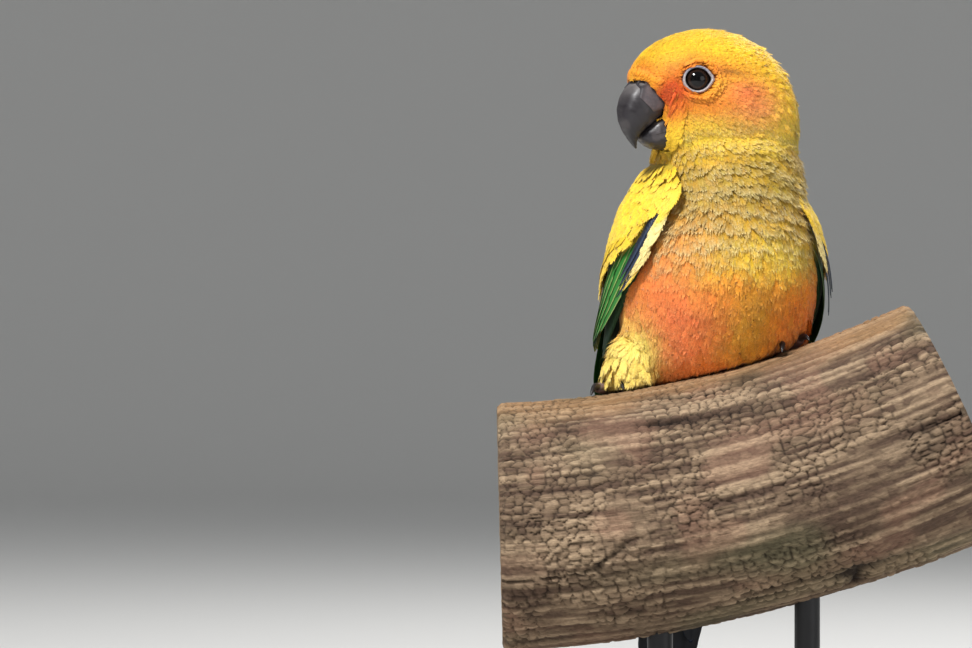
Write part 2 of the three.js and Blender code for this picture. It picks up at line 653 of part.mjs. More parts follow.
// Wings, cut clear of the flesh that they lie on.
const trunkNear = trunkShape(GAP);
const headNear = moved(headShape(GAP + 0.4), headToBody);
const WINGS = [
  { name: 'left', side: 1, lead: 10, lift: -2.5, flare: -1.2 },
  { name: 'right', side: -1, lead: -1, lift: 1.5, flare: 5 },
];
WINGS.forEach((set) => {
  const shape = wingShape(set).subtract(trunkNear).subtract(headNear).subtract(branchNearBody)
    .subtract(legRoom);
  body.add(pieceOf(`wing_${set.name}`, shape, finish.green));
});

body.add(
  pieceOf('torso', torso, finish.orange),
  pieceOf('neck', neck, finish.yellow),
  pieceOf('tail', tailShape(), finish.olive),
  head,
);

FEET.forEach((foot) => {
  const thighNear = thighShape(foot, GAP);
  const clawRoom = joined(TOES.map((toe) => clawShape(foot, toe, GAP)));
  const bare = joined([shankShape(foot), ...TOES.map((toe) => toeShape(foot, toe))]);
  perch.add(
    pieceOf(`thigh_${foot.name}`, thighShape(foot).subtract(branchNear), finish.yellow),
    pieceOf(`foot_${foot.name}`, bare.subtract(clawRoom).subtract(thighNear), finish.scute),
  );
  TOES.forEach((toe, i) => perch.add(
    pieceOf(`claw_${foot.name}_${i + 1}`, clawShape(foot, toe).subtract(thighNear), finish.horn),
  ));
});
perch.add(pieceOf('perch_branch', branch, finish.wood), body);

// The stand: a flat base and two rods up to the branch.
const stand = new THREE.Group();
const branchOnStand = moved(branchNear, new THREE.Matrix4().makeTranslation(...perch.position));
stand.add(
  pieceOf('stand_base', basePlate(), finish.plate),
  pieceOf('stand_rod_1', rodShape(-ROD_SPREAD / 2, branchOnStand), finish.plate),
  pieceOf('stand_rod_2', rodShape(ROD_SPREAD / 2, branchOnStand), finish.plate),
);

const model = new THREE.Group();
model.add(stand, perch);

export default model;
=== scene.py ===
import itertools
import math

import bmesh
import bpy
import numpy as np
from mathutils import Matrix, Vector
from mathutils.bvhtree import BVHTree
from mathutils.kdtree import KDTree


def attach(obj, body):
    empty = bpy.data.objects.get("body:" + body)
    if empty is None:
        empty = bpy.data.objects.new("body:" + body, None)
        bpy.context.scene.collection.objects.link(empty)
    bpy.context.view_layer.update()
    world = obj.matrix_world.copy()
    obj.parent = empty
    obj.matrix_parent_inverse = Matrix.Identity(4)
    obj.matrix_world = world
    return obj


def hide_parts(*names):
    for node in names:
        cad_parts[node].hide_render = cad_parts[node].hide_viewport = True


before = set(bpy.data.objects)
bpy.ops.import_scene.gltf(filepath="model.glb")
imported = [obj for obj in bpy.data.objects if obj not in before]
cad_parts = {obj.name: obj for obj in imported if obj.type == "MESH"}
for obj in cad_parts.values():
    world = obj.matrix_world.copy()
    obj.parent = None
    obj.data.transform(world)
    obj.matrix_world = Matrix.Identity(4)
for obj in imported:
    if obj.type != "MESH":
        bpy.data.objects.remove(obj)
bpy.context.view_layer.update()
chance = np.random.default_rng(20)

# Driving sizes, in millimetres and degrees.
MM = 0.001
TURN = 2 * math.pi
BODY_YAW = 12  # breast turned towards +X
HEAD_YAW = -150  # bill's heading from +X
TAIL_PITCH = 66
TAIL_LENGTH = 115
TAIL_ROOT = np.array([0.0, 31.0, -18.0])  # in the body's frame
BASE_THICK = 10
TAIL_CLEAR = 6
BRANCH_RADIUS = 39
SEAM = 0.35  # how far the fleshy solids are grown so that they meet
SKIN_GRAIN = 1.0  # grain of the closed skin made of them
LAYER = 0.42  # from one long wing feather to the next one over it
VANE_THICK = 0.26
TAIL_HALF = 6.6  # half width of a tail feather
TAIL_LAYER = 0.864  # from one tail feather down to the next
EYE_RADIUS = 4.9
EYE_RIM = 5.2
SHORT_FEATHER = 6.2  # shorter ones are the head's
COAT_TRIES = 160000  # random places where a feather of the coat may stand
COAT_PIECE = 185000  # most triangles in a piece of the coat

# Odd numbers that scramble the cells of the noise.
HASH_STEPS = np.array([374761393, 668265263, 2147483647])
HASH_SEED = 1013904223
HASH_MIX = 1274126177

TAIL_DOWN = np.array([0, math.cos(math.radians(TAIL_PITCH)), -math.sin(math.radians(TAIL_PITCH))])
TAIL_BACK = np.array([0, math.sin(math.radians(TAIL_PITCH)), math.cos(math.radians(TAIL_PITCH))])
CREST = np.array([-8, -14, BASE_THICK + TAIL_CLEAR - TAIL_ROOT[2] - TAIL_DOWN[2] * TAIL_LENGTH])
BODY_CENTRE = CREST + [2.5, 15, 0]
HEAD_CENTRE = CREST + [0.4, 4, 90]


# Numbers and frames.
def unit(vectors):
    return vectors / np.maximum(np.linalg.norm(vectors, axis=-1, keepdims=True), 1e-9)


def smoothstep(value, low, high):
    t = np.clip((np.asarray(value, float) - low) / (high - low), 0, 1)
    return t * t * (3 - 2 * t)


def lerp(a, b, t):
    return a + (b - a) * t


def spun(vectors, degrees):
    """Vectors turned about +Z."""
    c, s = math.cos(math.radians(degrees)), math.sin(math.radians(degrees))
    return np.asarray(vectors, float) @ np.array([[c, s, 0], [-s, c, 0], [0, 0, 1]])


def from_body(points):
    return spun(points, BODY_YAW) + BODY_CENTRE


def to_body(points):
    return spun(points - BODY_CENTRE, -BODY_YAW)


def from_head(points):
    return spun(points, HEAD_YAW) + HEAD_CENTRE


def to_head(points):
    return spun(points - HEAD_CENTRE, -HEAD_YAW)


def over_crest(points):
    """Heights over the branch's crest."""
    return points[:, 2] - CREST[2]


def one_side(in_head):
    """Places in the head's frame, with one half mirrored to the other."""
    forward, across, up = in_head.T
    return np.stack([forward, np.abs(across), up], -1)


def off_axis(in_head, middle, out):
    """How far places are from the axis of an eye or a nostril, and how far out along it."""
    away = one_side(in_head) - middle
    outwards = away @ out
    return np.linalg.norm(away - out * outwards[:, None], axis=-1), outwards


def circle(turn):
    """Unit vectors round +Z."""
    return np.stack([np.cos(turn), np.sin(turn), 0 * turn], -1)


def smooth_rows(rows, keys):
    """The columns of rows of numbers, as smooth functions of the first column."""
    rows = np.asarray(rows, float)
    keys = np.asarray(keys, float)
    i = np.clip(np.searchsorted(rows[:, 0], keys, side="right") - 1, 0, len(rows) - 2)
    t = np.clip((keys - rows[i, 0]) / (rows[i + 1, 0] - rows[i, 0]), 0, 1)[..., None]
    p, q, r, s = (rows[np.clip(i + k, 0, len(rows) - 1), 1:] for k in (-1, 0, 1, 2))
    rise = (r - p) / 2
    fall = (s - q) / 2
    values = q + t * (rise + t * (3 * (r - q) - 2 * rise - fall + t * (2 * (q - r) + rise + fall)))
    return np.moveaxis(values, -1, 0)


def rough(points, scale, seed=0):
    """Smooth noise from -1 to 1 at points, with lumps about scale across (one number or three)."""
    at = np.asarray(points, float) / scale + 1000
    cell = np.floor(at).astype(np.int64)
    part = at - cell
    part = part * part * (3 - 2 * part)
    total = np.zeros(at.shape[:-1])
    for corner in itertools.product((0, 1), repeat=3):
        mixed = (cell + corner) @ HASH_STEPS + seed * HASH_SEED
        mixed = (mixed ^ (mixed >> 13)) * HASH_MIX
        value = ((mixed ^ (mixed >> 16)) & 0xFFFF) / 32767.5 - 1
        total += value * np.prod(np.where(corner, part, 1 - part), axis=-1)
    return total


def blob(points, centre, radii):
    """A soft weight, 1 at centre, fading at radii."""
    return np.exp(-(((points - np.array(centre)) / np.array(radii)) ** 2).sum(-1))


def shade(colour, other, weight):
    """colour moved towards other by weight."""
    return colour + (np.asarray(other) - colour) * np.asarray(weight)[..., None]


def patched(colour, patches, points, wave, share=1):
    """colour with soft patches: tone, strength, how far the wave shifts it, middle and radii of each."""
    for tone, strength, shift, middle, radii in patches:
        weight = np.minimum(strength * blob(points + wave[:, None] * shift, middle, radii), 1)
        colour = shade(colour, tone, weight * share)
    return colour


def paint(red, green, blue):
    """A linear colour from one as the screen shows it, of 0 to 255."""
    value = np.array([red, green, blue]) / 255
    return np.where(value <= 0.04045, value / 12.92, ((value + 0.055) / 1.055) ** 2.4)


# Meshes.
def placed(name, data):
    """A new object in the scene."""
    made = bpy.data.objects.new(name, data)
    bpy.context.scene.collection.objects.link(made)
    return made


def piece(name, mesh, material, slot, *nodes):
    """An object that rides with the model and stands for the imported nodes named."""
    made = placed(name, mesh)
    mesh.materials.clear()
    mesh.materials.append(material)
    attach(made, "root")
    if nodes:
        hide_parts(*nodes)


def finished(shape, name):
    """The mesh of a shape that is done."""
    mesh = bpy.data.meshes.new(name)
    shape.to_mesh(mesh)
    shape.free()
    return mesh


def smooth_shaded(mesh):
    mesh.polygons.foreach_set("use_smooth", np.ones(len(mesh.polygons), bool))


def tint(mesh, colours):
    """Colours of the points, as the attribute that the materials read."""
    layer = mesh.attributes.new("tint", "FLOAT_COLOR", "POINT")
    full = np.ones((len(mesh.vertices), 4), np.float32)
    full[:, :3] = colours
    layer.data.foreach_set("color", full.ravel())


def mark(mesh, name, vectors):
    """A vector for each point, as an attribute."""
    layer = mesh.attributes.new(name, "FLOAT_VECTOR", "POINT")
    layer.data.foreach_set("vector", np.ascontiguousarray(vectors, np.float32).ravel())


def joined_mesh(name, points, faces):
    """A mesh from arrays, for many small things at once. Points are in millimetres."""
    mesh = bpy.data.meshes.new(name)
    sides = faces.shape[1]
    mesh.vertices.add(len(points))
    mesh.vertices.foreach_set("co", np.ascontiguousarray(points * MM, np.float32).ravel())
    mesh.loops.add(faces.size)
    mesh.loops.foreach_set("vertex_index", np.ascontiguousarray(faces, np.int32).ravel())
    mesh.polygons.add(len(faces))
    mesh.polygons.foreach_set("loop_start", np.arange(0, faces.size, sides, dtype=np.int32))
    mesh.update(calc_edges=True)
    smooth_shaded(mesh)
    return mesh


def bake_map(mesh, places):
    """The OFBake map, from a place for each point of the mesh."""
    layer = mesh.uv_layers.new(name="OFBake")
    corners = np.empty(len(mesh.loops), np.int32)
    mesh.loops.foreach_get("vertex_index", corners)
    layer.data.foreach_set("uv", np.ascontiguousarray(places[corners], np.float32).ravel())


def within(places):
    """Places from 0 to 1, drawn in from the edges of the map."""
    return places * 0.98 + 0.01


def sheet_piece(name, mesh, u, v, material, slot, *nodes):
    """A piece whose u and v fill its OFBake map."""
    bake_map(mesh, within(np.stack([u, v], -1)))
    piece(name, mesh, material, slot, *nodes)


def mapped_sheet(name, across, along, place, close=False):
    """A grid laid over a shape: place gives points for arrays u and v, each from 0 to 1.
    It returns the mesh with u and v of each point. With close, its ends are capped."""
    shape = bmesh.new()
    bmesh.ops.create_grid(shape, x_segments=across, y_segments=along, size=1)
    for vertex in shape.verts:
        u, v = (vertex.co.x + 1) / 2, (vertex.co.y + 1) / 2
        vertex.co = (u, v, 0)
    u, v, _ = np.array([vertex.co for vertex in shape.verts]).T
    for vertex, point in zip(shape.verts, place(u, v) * MM):
        vertex.co = point
    u_layer = shape.verts.layers.float.new("u")
    v_layer = shape.verts.layers.float.new("v")
    for vertex, a, b in zip(shape.verts, u, v):
        vertex[u_layer] = a
        vertex[v_layer] = b
    bmesh.ops.remove_doubles(shape, verts=shape.verts, dist=2e-6)
    edges = [edge for edge in shape.edges if edge.is_boundary]
    if close and edges:
        bmesh.ops.holes_fill(shape, edges=edges, sides=0)
    bmesh.ops.recalc_face_normals(shape, faces=shape.faces)
    uv = np.array([(vertex[u_layer], vertex[v_layer]) for vertex in shape.verts])
    mesh = finished(shape, name)
    smooth_shaded(mesh)
    return mesh, uv[:, 0], uv[:, 1]


def coordinates(mesh):
    """The points of a mesh, in millimetres."""
    flat = np.empty(len(mesh.vertices) * 3, np.float32)
    mesh.vertices.foreach_get("co", flat)
    return flat.reshape(-1, 3).astype(float) / MM


def directions(mesh):
    flat = np.empty(len(mesh.vertices) * 3, np.float32)
    mesh.vertex_normals.foreach_get("vector", flat)
    return flat.reshape(-1, 3).astype(float)


def replace_points(mesh, points):
    mesh.vertices.foreach_set("co", np.ascontiguousarray(points * MM, np.float32).ravel())
    mesh.update()


def tree_of(*names):
    """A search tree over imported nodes, in metres."""
    shape = bmesh.new()
    for name in names:
        shape.from_mesh(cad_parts[name].data)
    tree = BVHTree.FromBMesh(shape)
    shape.free()
    return tree


# Materials.
class Finish:
    """A material being made: its shader, and short ways to add nodes and links."""

    def __init__(self, name, roughness, specular=0.5):
        self.material = bpy.data.materials.new(name)
        self.material.use_nodes = True
        self.tree = self.material.node_tree
        self.shader = self.tree.nodes["Principled BSDF"]
        self.set(Roughness=roughness, Specular_IOR_Level=specular)

    def set(self, **values):
        for name, value in values.items():
            self.shader.inputs[name.replace("_", " ")].default_value = value

    def node(self, kind, values, **settings):
        made = self.tree.nodes.new("ShaderNode" + kind)
        for name, value in settings.items():
            setattr(made, name, value)
        for name, value in values.items():
            self.give(value, made.inputs[name])
        return made

    def give(self, value, socket):
        if isinstance(value, bpy.types.NodeSocket):
            self.tree.links.new(value, socket)
        else:
            socket.default_value = value

    def attribute(self, name, output="Color"):
        return self.node("Attribute", {}, attribute_name=name).outputs[output]

    def scaled(self, vector, *scale):
        return self.node("Mapping", {"Vector": vector, "Scale": scale}).outputs[0]

    def places(self):
        return self.node("TexCoord", {}).outputs["Object"]

    def noise(self, vector, scale, detail=3, roughness=0.55):
        values = {"Vector": vector, "Scale": scale, "Detail": detail, "Roughness": roughness}
        return self.node("TexNoise", values).outputs["Fac"]

    def ramp(self, value, low, high, to_low, to_high):
        names = ("Value", "From Min", "From Max", "To Min", "To Max")
        return self.node("MapRange", dict(zip(names, (value, low, high, to_low, to_high)))).outputs[0]

    def mixed(self, fac, a, b, blend="MIX"):
        made = self.node("Mix", {}, data_type="RGBA", blend_type=blend)
        for socket, value in zip((made.inputs[0], made.inputs[6], made.inputs[7]), (fac, a, b)):
            self.give(value, socket)
        return made.outputs[2]

    def colour(self, value):
        self.give(value, self.shader.inputs["Base Color"])

    def painted(self, *tones):
        """Gives the surface the colours painted on its mesh, times each of the numbers."""
        colour = self.attribute("tint")
        for tone in tones:
            grey = self.node("CombineColor", {"Red": tone, "Green": tone, "Blue": tone}).outputs[0]
            colour = self.mixed(1.0, colour, grey, "MULTIPLY")
        self.colour(colour)

    def bump(self, height, distance, strength):
        """Adds relief, of a depth in millimetres, over any that is already there."""
        values = {"Height": height, "Distance": distance * MM, "Strength": strength}
        before = self.shader.inputs["Normal"].links
        if before:
            values["Normal"] = before[0].from_socket
        made = self.node("Bump", values)
        self.give(made.outputs[0], self.shader.inputs["Normal"])


def plumage_finish():
    """Soft feathers: the painted markings, with fine strands a little lighter and darker."""
    made = Finish("soft feathers", 0.62, 0.28)
    made.set(Sheen_Weight=0.14, Sheen_Roughness=0.45)
    strands = made.noise(made.places(), 2600, 2)
    made.painted(made.ramp(strands, 0.3, 0.7, 0.8, 1.16))
    made.bump(strands, 0.05, 0.5)
    return made.material


def vane_finish():
    """Long feathers: barbs slant from the shaft to the edge, with a faint gloss."""
    made = Finish("long feathers", 0.42, 0.4)
    lie = made.attribute("vane", "Vector")
    values = {"Vector": lie, "Scale": 0.62, "Distortion": 0.6, "Detail": 1.0}
    barbs = made.node("TexWave", values, bands_direction="DIAGONAL").outputs["Fac"]
    patches = made.noise(made.scaled(lie, 0.9, 0.16, 1), 1.0, 3)
    made.painted(made.ramp(barbs, 0, 1, 0.86, 1.1), made.ramp(patches, 0.3, 0.7, 0.84, 1.14))
    made.bump(barbs, 0.06, 0.6)
    return made.material


PLUMAGE = plumage_finish()
VANES = vane_finish()

# Colours of the plumage.
GOLD = paint(249, 200, 34)
LEMON = paint(243, 208, 62)
ORANGE = paint(238, 120, 34)
RED_ORANGE = paint(222, 82, 24)
PEACH = paint(250, 158, 84)
SALMON = paint(240, 118, 72)
OLIVE = paint(166, 142, 30)
OLIVE_GOLD = paint(198, 148, 26)
CREAM = paint(248, 232, 170)
GREEN = paint(48, 128, 50)
LIGHT_GREEN = paint(112, 158, 66)
DEEP_GREEN = paint(26, 72, 42)
BLUE_BLACK = paint(30, 38, 52)
DUSK = paint(34, 34, 34)
TAIL_OLIVE = paint(96, 112, 40)
TAIL_BLUE = paint(34, 66, 104)
PALE_LEMON = LEMON * 0.75 + CREAM * 0.25
PALE_GREEN = paint(188, 204, 120)
SLATE = paint(70, 84, 112)

# Patches of colour: tone, strength, how far the wave shifts it, middle and radii of each.
HEAD_PATCHES = (
    (PEACH, 0.85, 0, (-5, 19, -3.5), (11, 14, 7)),
    (SALMON, 0.85, 0.35, (-1, 18, 1.5), (9.5, 14, 5.5)),
    (ORANGE, 0.9, 0.3, (9, 12, 8.6), (13, 12, 3.9)),
    (RED_ORANGE, 1.15, 0.3, (19, 9, 1.5), (8, 9, 7.5)),
    (ORANGE, 0.8, 0, (8, 14, -2.2), (9, 9, 4.2)),
    (ORANGE, 0.7, 0, (27, 4, 8.5), (4, 8, 4)),
)
BREAST_PATCHES = (
    (SALMON, 0.9, 0, (-17, -14, 22), (14, 30, 22)),
    (PEACH, 0.55, 0, (-20, -10, 40), (12, 26, 12)),
    # The lemon patch on the breast, towards +X, is a painted pool of sunlight.
    (LEMON, 0.95, 1, (12, -26, 42), (15, 22, 9)),
    (GOLD, 0.7, 1, (2, -30, 38), (13, 22, 8)),
    (OLIVE_GOLD, 0.7, 1, (3, -28, 18), (9, 24, 17)),
)


def head_colour(points):
    """Markings of the head, with painted shade in a crease by the brow, from places in the head's frame."""
    forward, _, up = points.T
    wave = 2.2 * rough(points, 7, 3) + 1.2 * rough(points, 3, 4)
    colour = shade(GOLD, LEMON, 0.75 * smoothstep(up + wave, 1, -9) * smoothstep(forward, 26, 10))
    colour = shade(colour, OLIVE, 0.75 * smoothstep(forward + 0.3 * up + wave, -17, -27))
    colour = shade(colour, OLIVE_GOLD, 0.75 * smoothstep(up + wave, -13, -20))
    colour = patched(colour, HEAD_PATCHES, one_side(points), wave)
    # A thin darker line at the height of the brow, behind the eyes, is painted shade in a crease of the
    # plumage.
    crease_shade = blob(one_side(points), (3.5, 15.5, 8.2), (5.5, 9, 1.0))
    return colour * (1 - 0.55 * crease_shade[:, None])


def body_colour(points):
    """Markings of the neck, trunk and thighs, with painted shade on the collar and painted light on the
    breast, from places in the body's frame.
    """
    y, z = points.T[1:]
    wave = 3.2 * rough(points, 15, 5) + 1.6 * rough(points, 5, 6)
    front = smoothstep(y, 14, -6)
    # The olive band across the front of the collar is painted shade, cast by the head on the throat and upper
    # breast.
    colour = shade(OLIVE_GOLD, OLIVE, 0.55 * smoothstep(z + wave, 52, 62) * front)
    colour = shade(colour, ORANGE, 0.78 * smoothstep(z + wave * 1.6, 46, 30) * front)
    colour = patched(colour, BREAST_PATCHES, points, wave, front)
    colour = shade(colour, ORANGE, 0.6 * smoothstep(z + wave, 12, 2) * front)
    back = smoothstep(y, 8, 22)
    colour = shade(colour, GOLD, back * 0.8)
    colour = shade(colour, OLIVE, back * 0.6 * smoothstep(rough(points, 9, 8), 0, 0.6))
    return shade(colour, TAIL_OLIVE, 0.7 * smoothstep(z + wave, 4, -16) * back)


def thigh_weight(points):
    """How far a place in the body's frame is on a thigh."""
    right = blob(points, (-29, -9, 8), (11, 14, 12))
    left = blob(points, (18, -14, 17), (6, 8, 7))
    return np.clip(1.5 * right + 0.8 * left, 0, 1)


def markings_and_painted_light(points):
    """Colour of the coat at places in the model's frame, with its painted light and shade."""
    in_body = to_body(points)
    on_head = smoothstep(over_crest(points) + rough(points, 6, 9) * 2, 64, 72)
    colour = lerp(body_colour(in_body), head_colour(to_head(points)), on_head[:, None])
    thigh = shade(PALE_LEMON, PEACH, smoothstep(in_body[:, 0], -26, -16))
    return lerp(colour, thigh, thigh_weight(in_body)[:, None])


# The lie of the coat.
EYE_PLACE = np.array([11.4, 10.7, 5.6])
EYE_OUT = unit(np.array([0.44, 0.89, 0.06]))


def eye_distance(in_head):
    """How far places in the head's frame are from the front of an eye."""
    return np.linalg.norm(one_side(in_head) - (EYE_PLACE + EYE_OUT * 4), axis=-1)


def feather_length(points):
    """Length of the coat's feathers at places in the model's frame."""
    in_head = to_head(points)
    height = over_crest(points)
    forward, _, up = in_head.T
    on_head = 3.9 - 0.062 * forward - 0.9 * smoothstep(forward, 16, 26) + 1.7 * smoothstep(up, -10, -20)
    on_head = on_head - 1.4 * smoothstep(eye_distance(in_head), 10.5, 5.5)
    on_body = 8.2 + 1.6 * smoothstep(height, 56, 34) - 3.4 * thigh_weight(to_body(points))
    return lerp(on_body, np.clip(on_head, 1.5, 7), smoothstep(height, 60, 74))


def coat_depth(points):
    """How far the coat stands out from the skin: less on the trunk than on head and neck."""
    share = lerp(0.105, 0.15, smoothstep(over_crest(points), 44, 60))
    return 0.12 + share * feather_length(points)


def coat_lie(points, normals):
    """Unit vectors along which the feathers lie, at places in the model's frame."""
    in_head = to_head(points)
    forward, across, up = in_head.T
    drop = 0.22 + 0.6 * smoothstep(up, 4, -12) + 0.5 * smoothstep(forward, -6, -22)
    outwards = 0.15 * np.sign(across) * smoothstep(forward, 5, 25)
    swing = np.stack([-np.ones_like(up), outwards, -drop], -1)
    clear = (in_head - EYE_PLACE) * [1, 0, 1]
    swing = swing + unit(clear) * (0.7 * smoothstep(eye_distance(in_head), 10, 5))[:, None]
    on_head = spun(unit(swing), HEAD_YAW)
    x, _, z = to_body(points).T
    sideways = 0.010 * x * smoothstep(z, 50, 25) + 0.16 * rough(points, 11, 12)
    down = np.stack([sideways, 0.15 + 0.8 * smoothstep(z, 12, -8), -np.ones_like(x)], -1)
    on_body = spun(unit(down), BODY_YAW)
    lie = lerp(on_body, on_head, smoothstep(over_crest(points), 58, 74)[:, None])
    lie = lie - normals * (lie * normals).sum(-1, keepdims=True)
    across_lie = np.cross(normals, unit(lie))
    bend = 0.30 * rough(points, 6, 13) + 0.22 * rough(points, 2.2, 14)
    return unit(unit(lie) + across_lie * bend[:, None])


# The skin, under the whole coat.
def skin_mesh():
    """The fleshy solids as one closed surface, drawn in by the depth of the coat."""
    flesh = bmesh.new()
    for name in FLESH:
        part = bmesh.new()
        part.from_mesh(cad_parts[name].data)
        bmesh.ops.remove_doubles(part, verts=part.verts, dist=2e-5)
        part.normal_update()
        for vertex in part.verts:
            vertex.co += vertex.normal * SEAM * MM
        grown = finished(part, name)
        flesh.from_mesh(grown)
        bpy.data.meshes.remove(grown)
    raw = finished(flesh, "flesh")
    holder = placed("flesh", raw)
    remesh = holder.modifiers.new("one surface", "REMESH")
    remesh.mode = "VOXEL"
    remesh.voxel_size = SKIN_GRAIN * MM
    smooth = holder.modifiers.new("smoothed", "SMOOTH")
    smooth.factor = 0.5
    smooth.iterations = 4
    mesh = bpy.data.meshes.new_from_object(holder.evaluated_get(bpy.context.evaluated_depsgraph_get()))
    bpy.data.objects.remove(holder)
    bpy.data.meshes.remove(raw)
    points = coordinates(mesh)
    depth = np.minimum(coat_depth(points), 2.6) + SEAM
    replace_points(mesh, points - directions(mesh) * depth[:, None])
    smooth_shaded(mesh)
    return mesh


def unwrapped(points):
    """A place from 0 to 1 on an unwrap of the bird's own shape: round it, and from tail to crown."""
    x, y, z = (points - BODY_CENTRE).T
    head = smoothstep(z, 60, 80)
    middle = np.stack([x + 3 * head, y + 4 + 6 * head], -1)
    round_it = np.arctan2(middle[:, 0], -middle[:, 1]) / TURN + 0.5
    along = (z + 45 + smoothstep(z, 88, 112) * (24 - np.hypot(*middle.T))) / 190
    return within(np.clip(np.stack([round_it, along], -1), 0, 1))


# Contour feathers, many at a time.
def vane_template(teeth):
    """A small feather: along and across of its points, how near each is to a tip, and its triangles."""
    steps = np.linspace(0, 0.88, teeth + 1)

    def width(t):
        taper = np.clip(1 - (np.clip(t - 0.42, 0, None) / 0.62) ** 2, 0, 1)
        return np.minimum(1, 0.3 + 1.7 * t) * np.sqrt(taper)

    middles = (steps[1:] + steps[:-1]) / 2 + 0.15
    sides = [np.stack([steps, 0 * steps], -1)]
    nearness = [np.zeros(teeth + 1)]
    for side in (-1, 1):
        sides.append(np.stack([steps + 0.04, side * 0.7 * width(steps)], -1))
        sides.append(np.stack([middles, side * width(np.minimum(middles, 0.97))], -1))
        nearness += [np.full(teeth + 1, 0.45), np.ones(teeth)]
    places = np.concatenate([*sides, [[1.0, -0.2], [1.03, 0.2]]])
    nearness = np.concatenate([*nearness, np.ones(2)])
    faces = []
    count = teeth + 1
    starts = ((count, 2 * count), (2 * count + teeth, 3 * count + teeth))
    for turn, (inner, tips) in zip((1, -1), starts):
        for k in range(teeth):
            near, further = inner + k, inner + k + 1
            trio = ((k, near, further), (k, further, k + 1), (near, tips + k, further))
            faces += [face[::turn] for face in trio]
    last = len(places) - 2
    faces.append((teeth, starts[0][0] + teeth, last))
    faces.append((teeth, last + 1, starts[1][0] + teeth))
    return places, nearness, np.array(faces)


def feathers(name, slot, spines, facing, half, colours, edges, teeth, hairs=0, fuzz=1.0, lies=None,
             roots=None):
    """Small feathers as one piece, with loose barbs over each. spines holds root, middle and tip of each."""
    lies = unit(spines[:, 2] - spines[:, 0]) if lies is None else lies
    roots = unwrapped(spines[:, 0]) if roots is None else roots
    edges = np.broadcast_to(edges, len(spines))
    sideways = unit(np.cross(facing, lies))
    places, nearness, faces = vane_template(teeth)
    count, size = len(spines), len(places)
    along = places[:, 0][None] + chance.normal(0, 0.028 * fuzz, (count, size)) * nearness
    across = places[:, 1][None] * (1 + chance.normal(0, 0.16 * fuzz, (count, size)) * nearness)
    curve = bent(spines, along)
    reach = np.linalg.norm(spines[:, 2] - spines[:, 0], axis=-1)
    droop = -0.22 * half[:, None] * across ** 2 + 0.05 * half[:, None]
    lift = droop + chance.normal(0, 0.016 * fuzz, (count, size)) * nearness * reach[:, None]
    points = curve + facing[:, None] * lift[..., None]
    points = points + sideways[:, None] * (across * half[:, None])[..., None]
    # Each feather is darker towards its root: painted shade where the feathers over it cover it.
    light = 0.72 + 0.28 * smoothstep(along, 0.0, 0.6) + 0.05 * nearness
    pale = nearness * smoothstep(along, 0.35, 0.9) * edges[:, None]
    tone = shade(colours[:, None] * light[..., None], CREAM, pale)
    tone = tone * (1 + chance.normal(0, 0.05, (count, size, 1)))
    patch = roots[:, None] + np.stack([across * 0.0012, (along - 0.5) * 0.0026], -1)
    every = (faces[None] + (np.arange(count) * size)[:, None, None]).reshape(-1, 3)
    points, tone, patch = points.reshape(-1, 3), tone.reshape(-1, 3), patch.reshape(-1, 2)
    if hairs:
        barbs = loose_barbs(spines, facing, sideways, half, colours, edges, roots, hairs)
        every = np.concatenate([every, len(points) + np.arange(len(barbs[0])).reshape(-1, 3)])
        points, tone, patch = (np.concatenate(pair) for pair in zip((points, tone, patch), barbs))
    mesh = joined_mesh(name, points, every)
    tint(mesh, np.clip(tone, 0, 1))
    bake_map(mesh, np.clip(patch, 0, 1))
    piece(name, mesh, PLUMAGE, slot)


def bent(spines, along):
    """Places along curves through root, middle and tip."""
    t = along[..., None]
    return (spines[:, None, 0] * (1 - 3 * t + 2 * t * t) + spines[:, None, 1] * (4 * t - 4 * t * t)
            + spines[:, None, 2] * (2 * t * t - t))


def loose_barbs(spines, facing, sideways, half, colours, edges, roots, hairs):
    """Fine barbs that slant from each feather's shaft out past its edge: their points, colours and places
    on the map, three to a barb."""
    count = len(spines)
    start = chance.uniform(0.25, 0.85, (count, hairs))
    end = start + chance.uniform(0.22, 0.42, (count, hairs))
    spread_out = chance.uniform(-1, 1, (count, hairs))
    across = sideways[:, None] * half[:, None, None]
    root = bent(spines, start) + across * (0.55 * spread_out)[..., None]
    tip = bent(spines, end) + across * (spread_out * (1.25 - 0.55 * end ** 3))[..., None]
    reach = np.linalg.norm(spines[:, 2] - spines[:, 0], axis=-1)
    droop = 0.2 * half[:, None] * spread_out ** 2
    lift = 0.06 + 0.035 * reach[:, None] * chance.random((count, hairs)) - droop
    root = root + facing[:, None] * (0.04 - 0.3 * droop)[..., None]
    tip = tip + facing[:, None] * lift[..., None]
    thick = 0.014 * reach[:, None] + 0.03
    side = np.cross(unit(tip - root), facing[:, None]) * thick[..., None]
    points = np.stack([root - side, tip, root + side], 2)
    light = chance.uniform(0.9, 1.16, (count, hairs, 1, 1)) * np.array([0.94, 1.06, 0.94])[:, None]
    pale = np.array([0.0, 0.9, 0.0]) * (smoothstep(end, 0.6, 1.1) * edges[:, None])[..., None]
    tone = shade(colours[:, None, None] * light, CREAM, pale)
    patch = np.broadcast_to(roots[:, None, None], (count, hairs, 3, 2)).copy()
    patch[..., 1] += (start[..., None] + np.array([0, 0.3, 0])) * 0.002
    patch[..., 0] += spread_out[..., None] * 0.001 + np.array([-0.0001, 0, 0.0001])
    return points.reshape(-1, 3), tone.reshape(-1, 3), patch.reshape(-1, 2)


def spread(points, gaps):
    """Which points to keep so that none is nearer to another than its gap, in the order given."""
    tree = KDTree(len(points))
    for i, point in enumerate(points):
        tree.insert(point, i)
    tree.balance()
    alive = np.ones(len(points), bool)
    kept = []
    for i, (point, gap) in enumerate(zip(points, gaps)):
        if alive[i]:
            kept.append(i)
            for _, near, _ in tree.find_range(point, gap):
                alive[near] = False
    return np.array(kept)


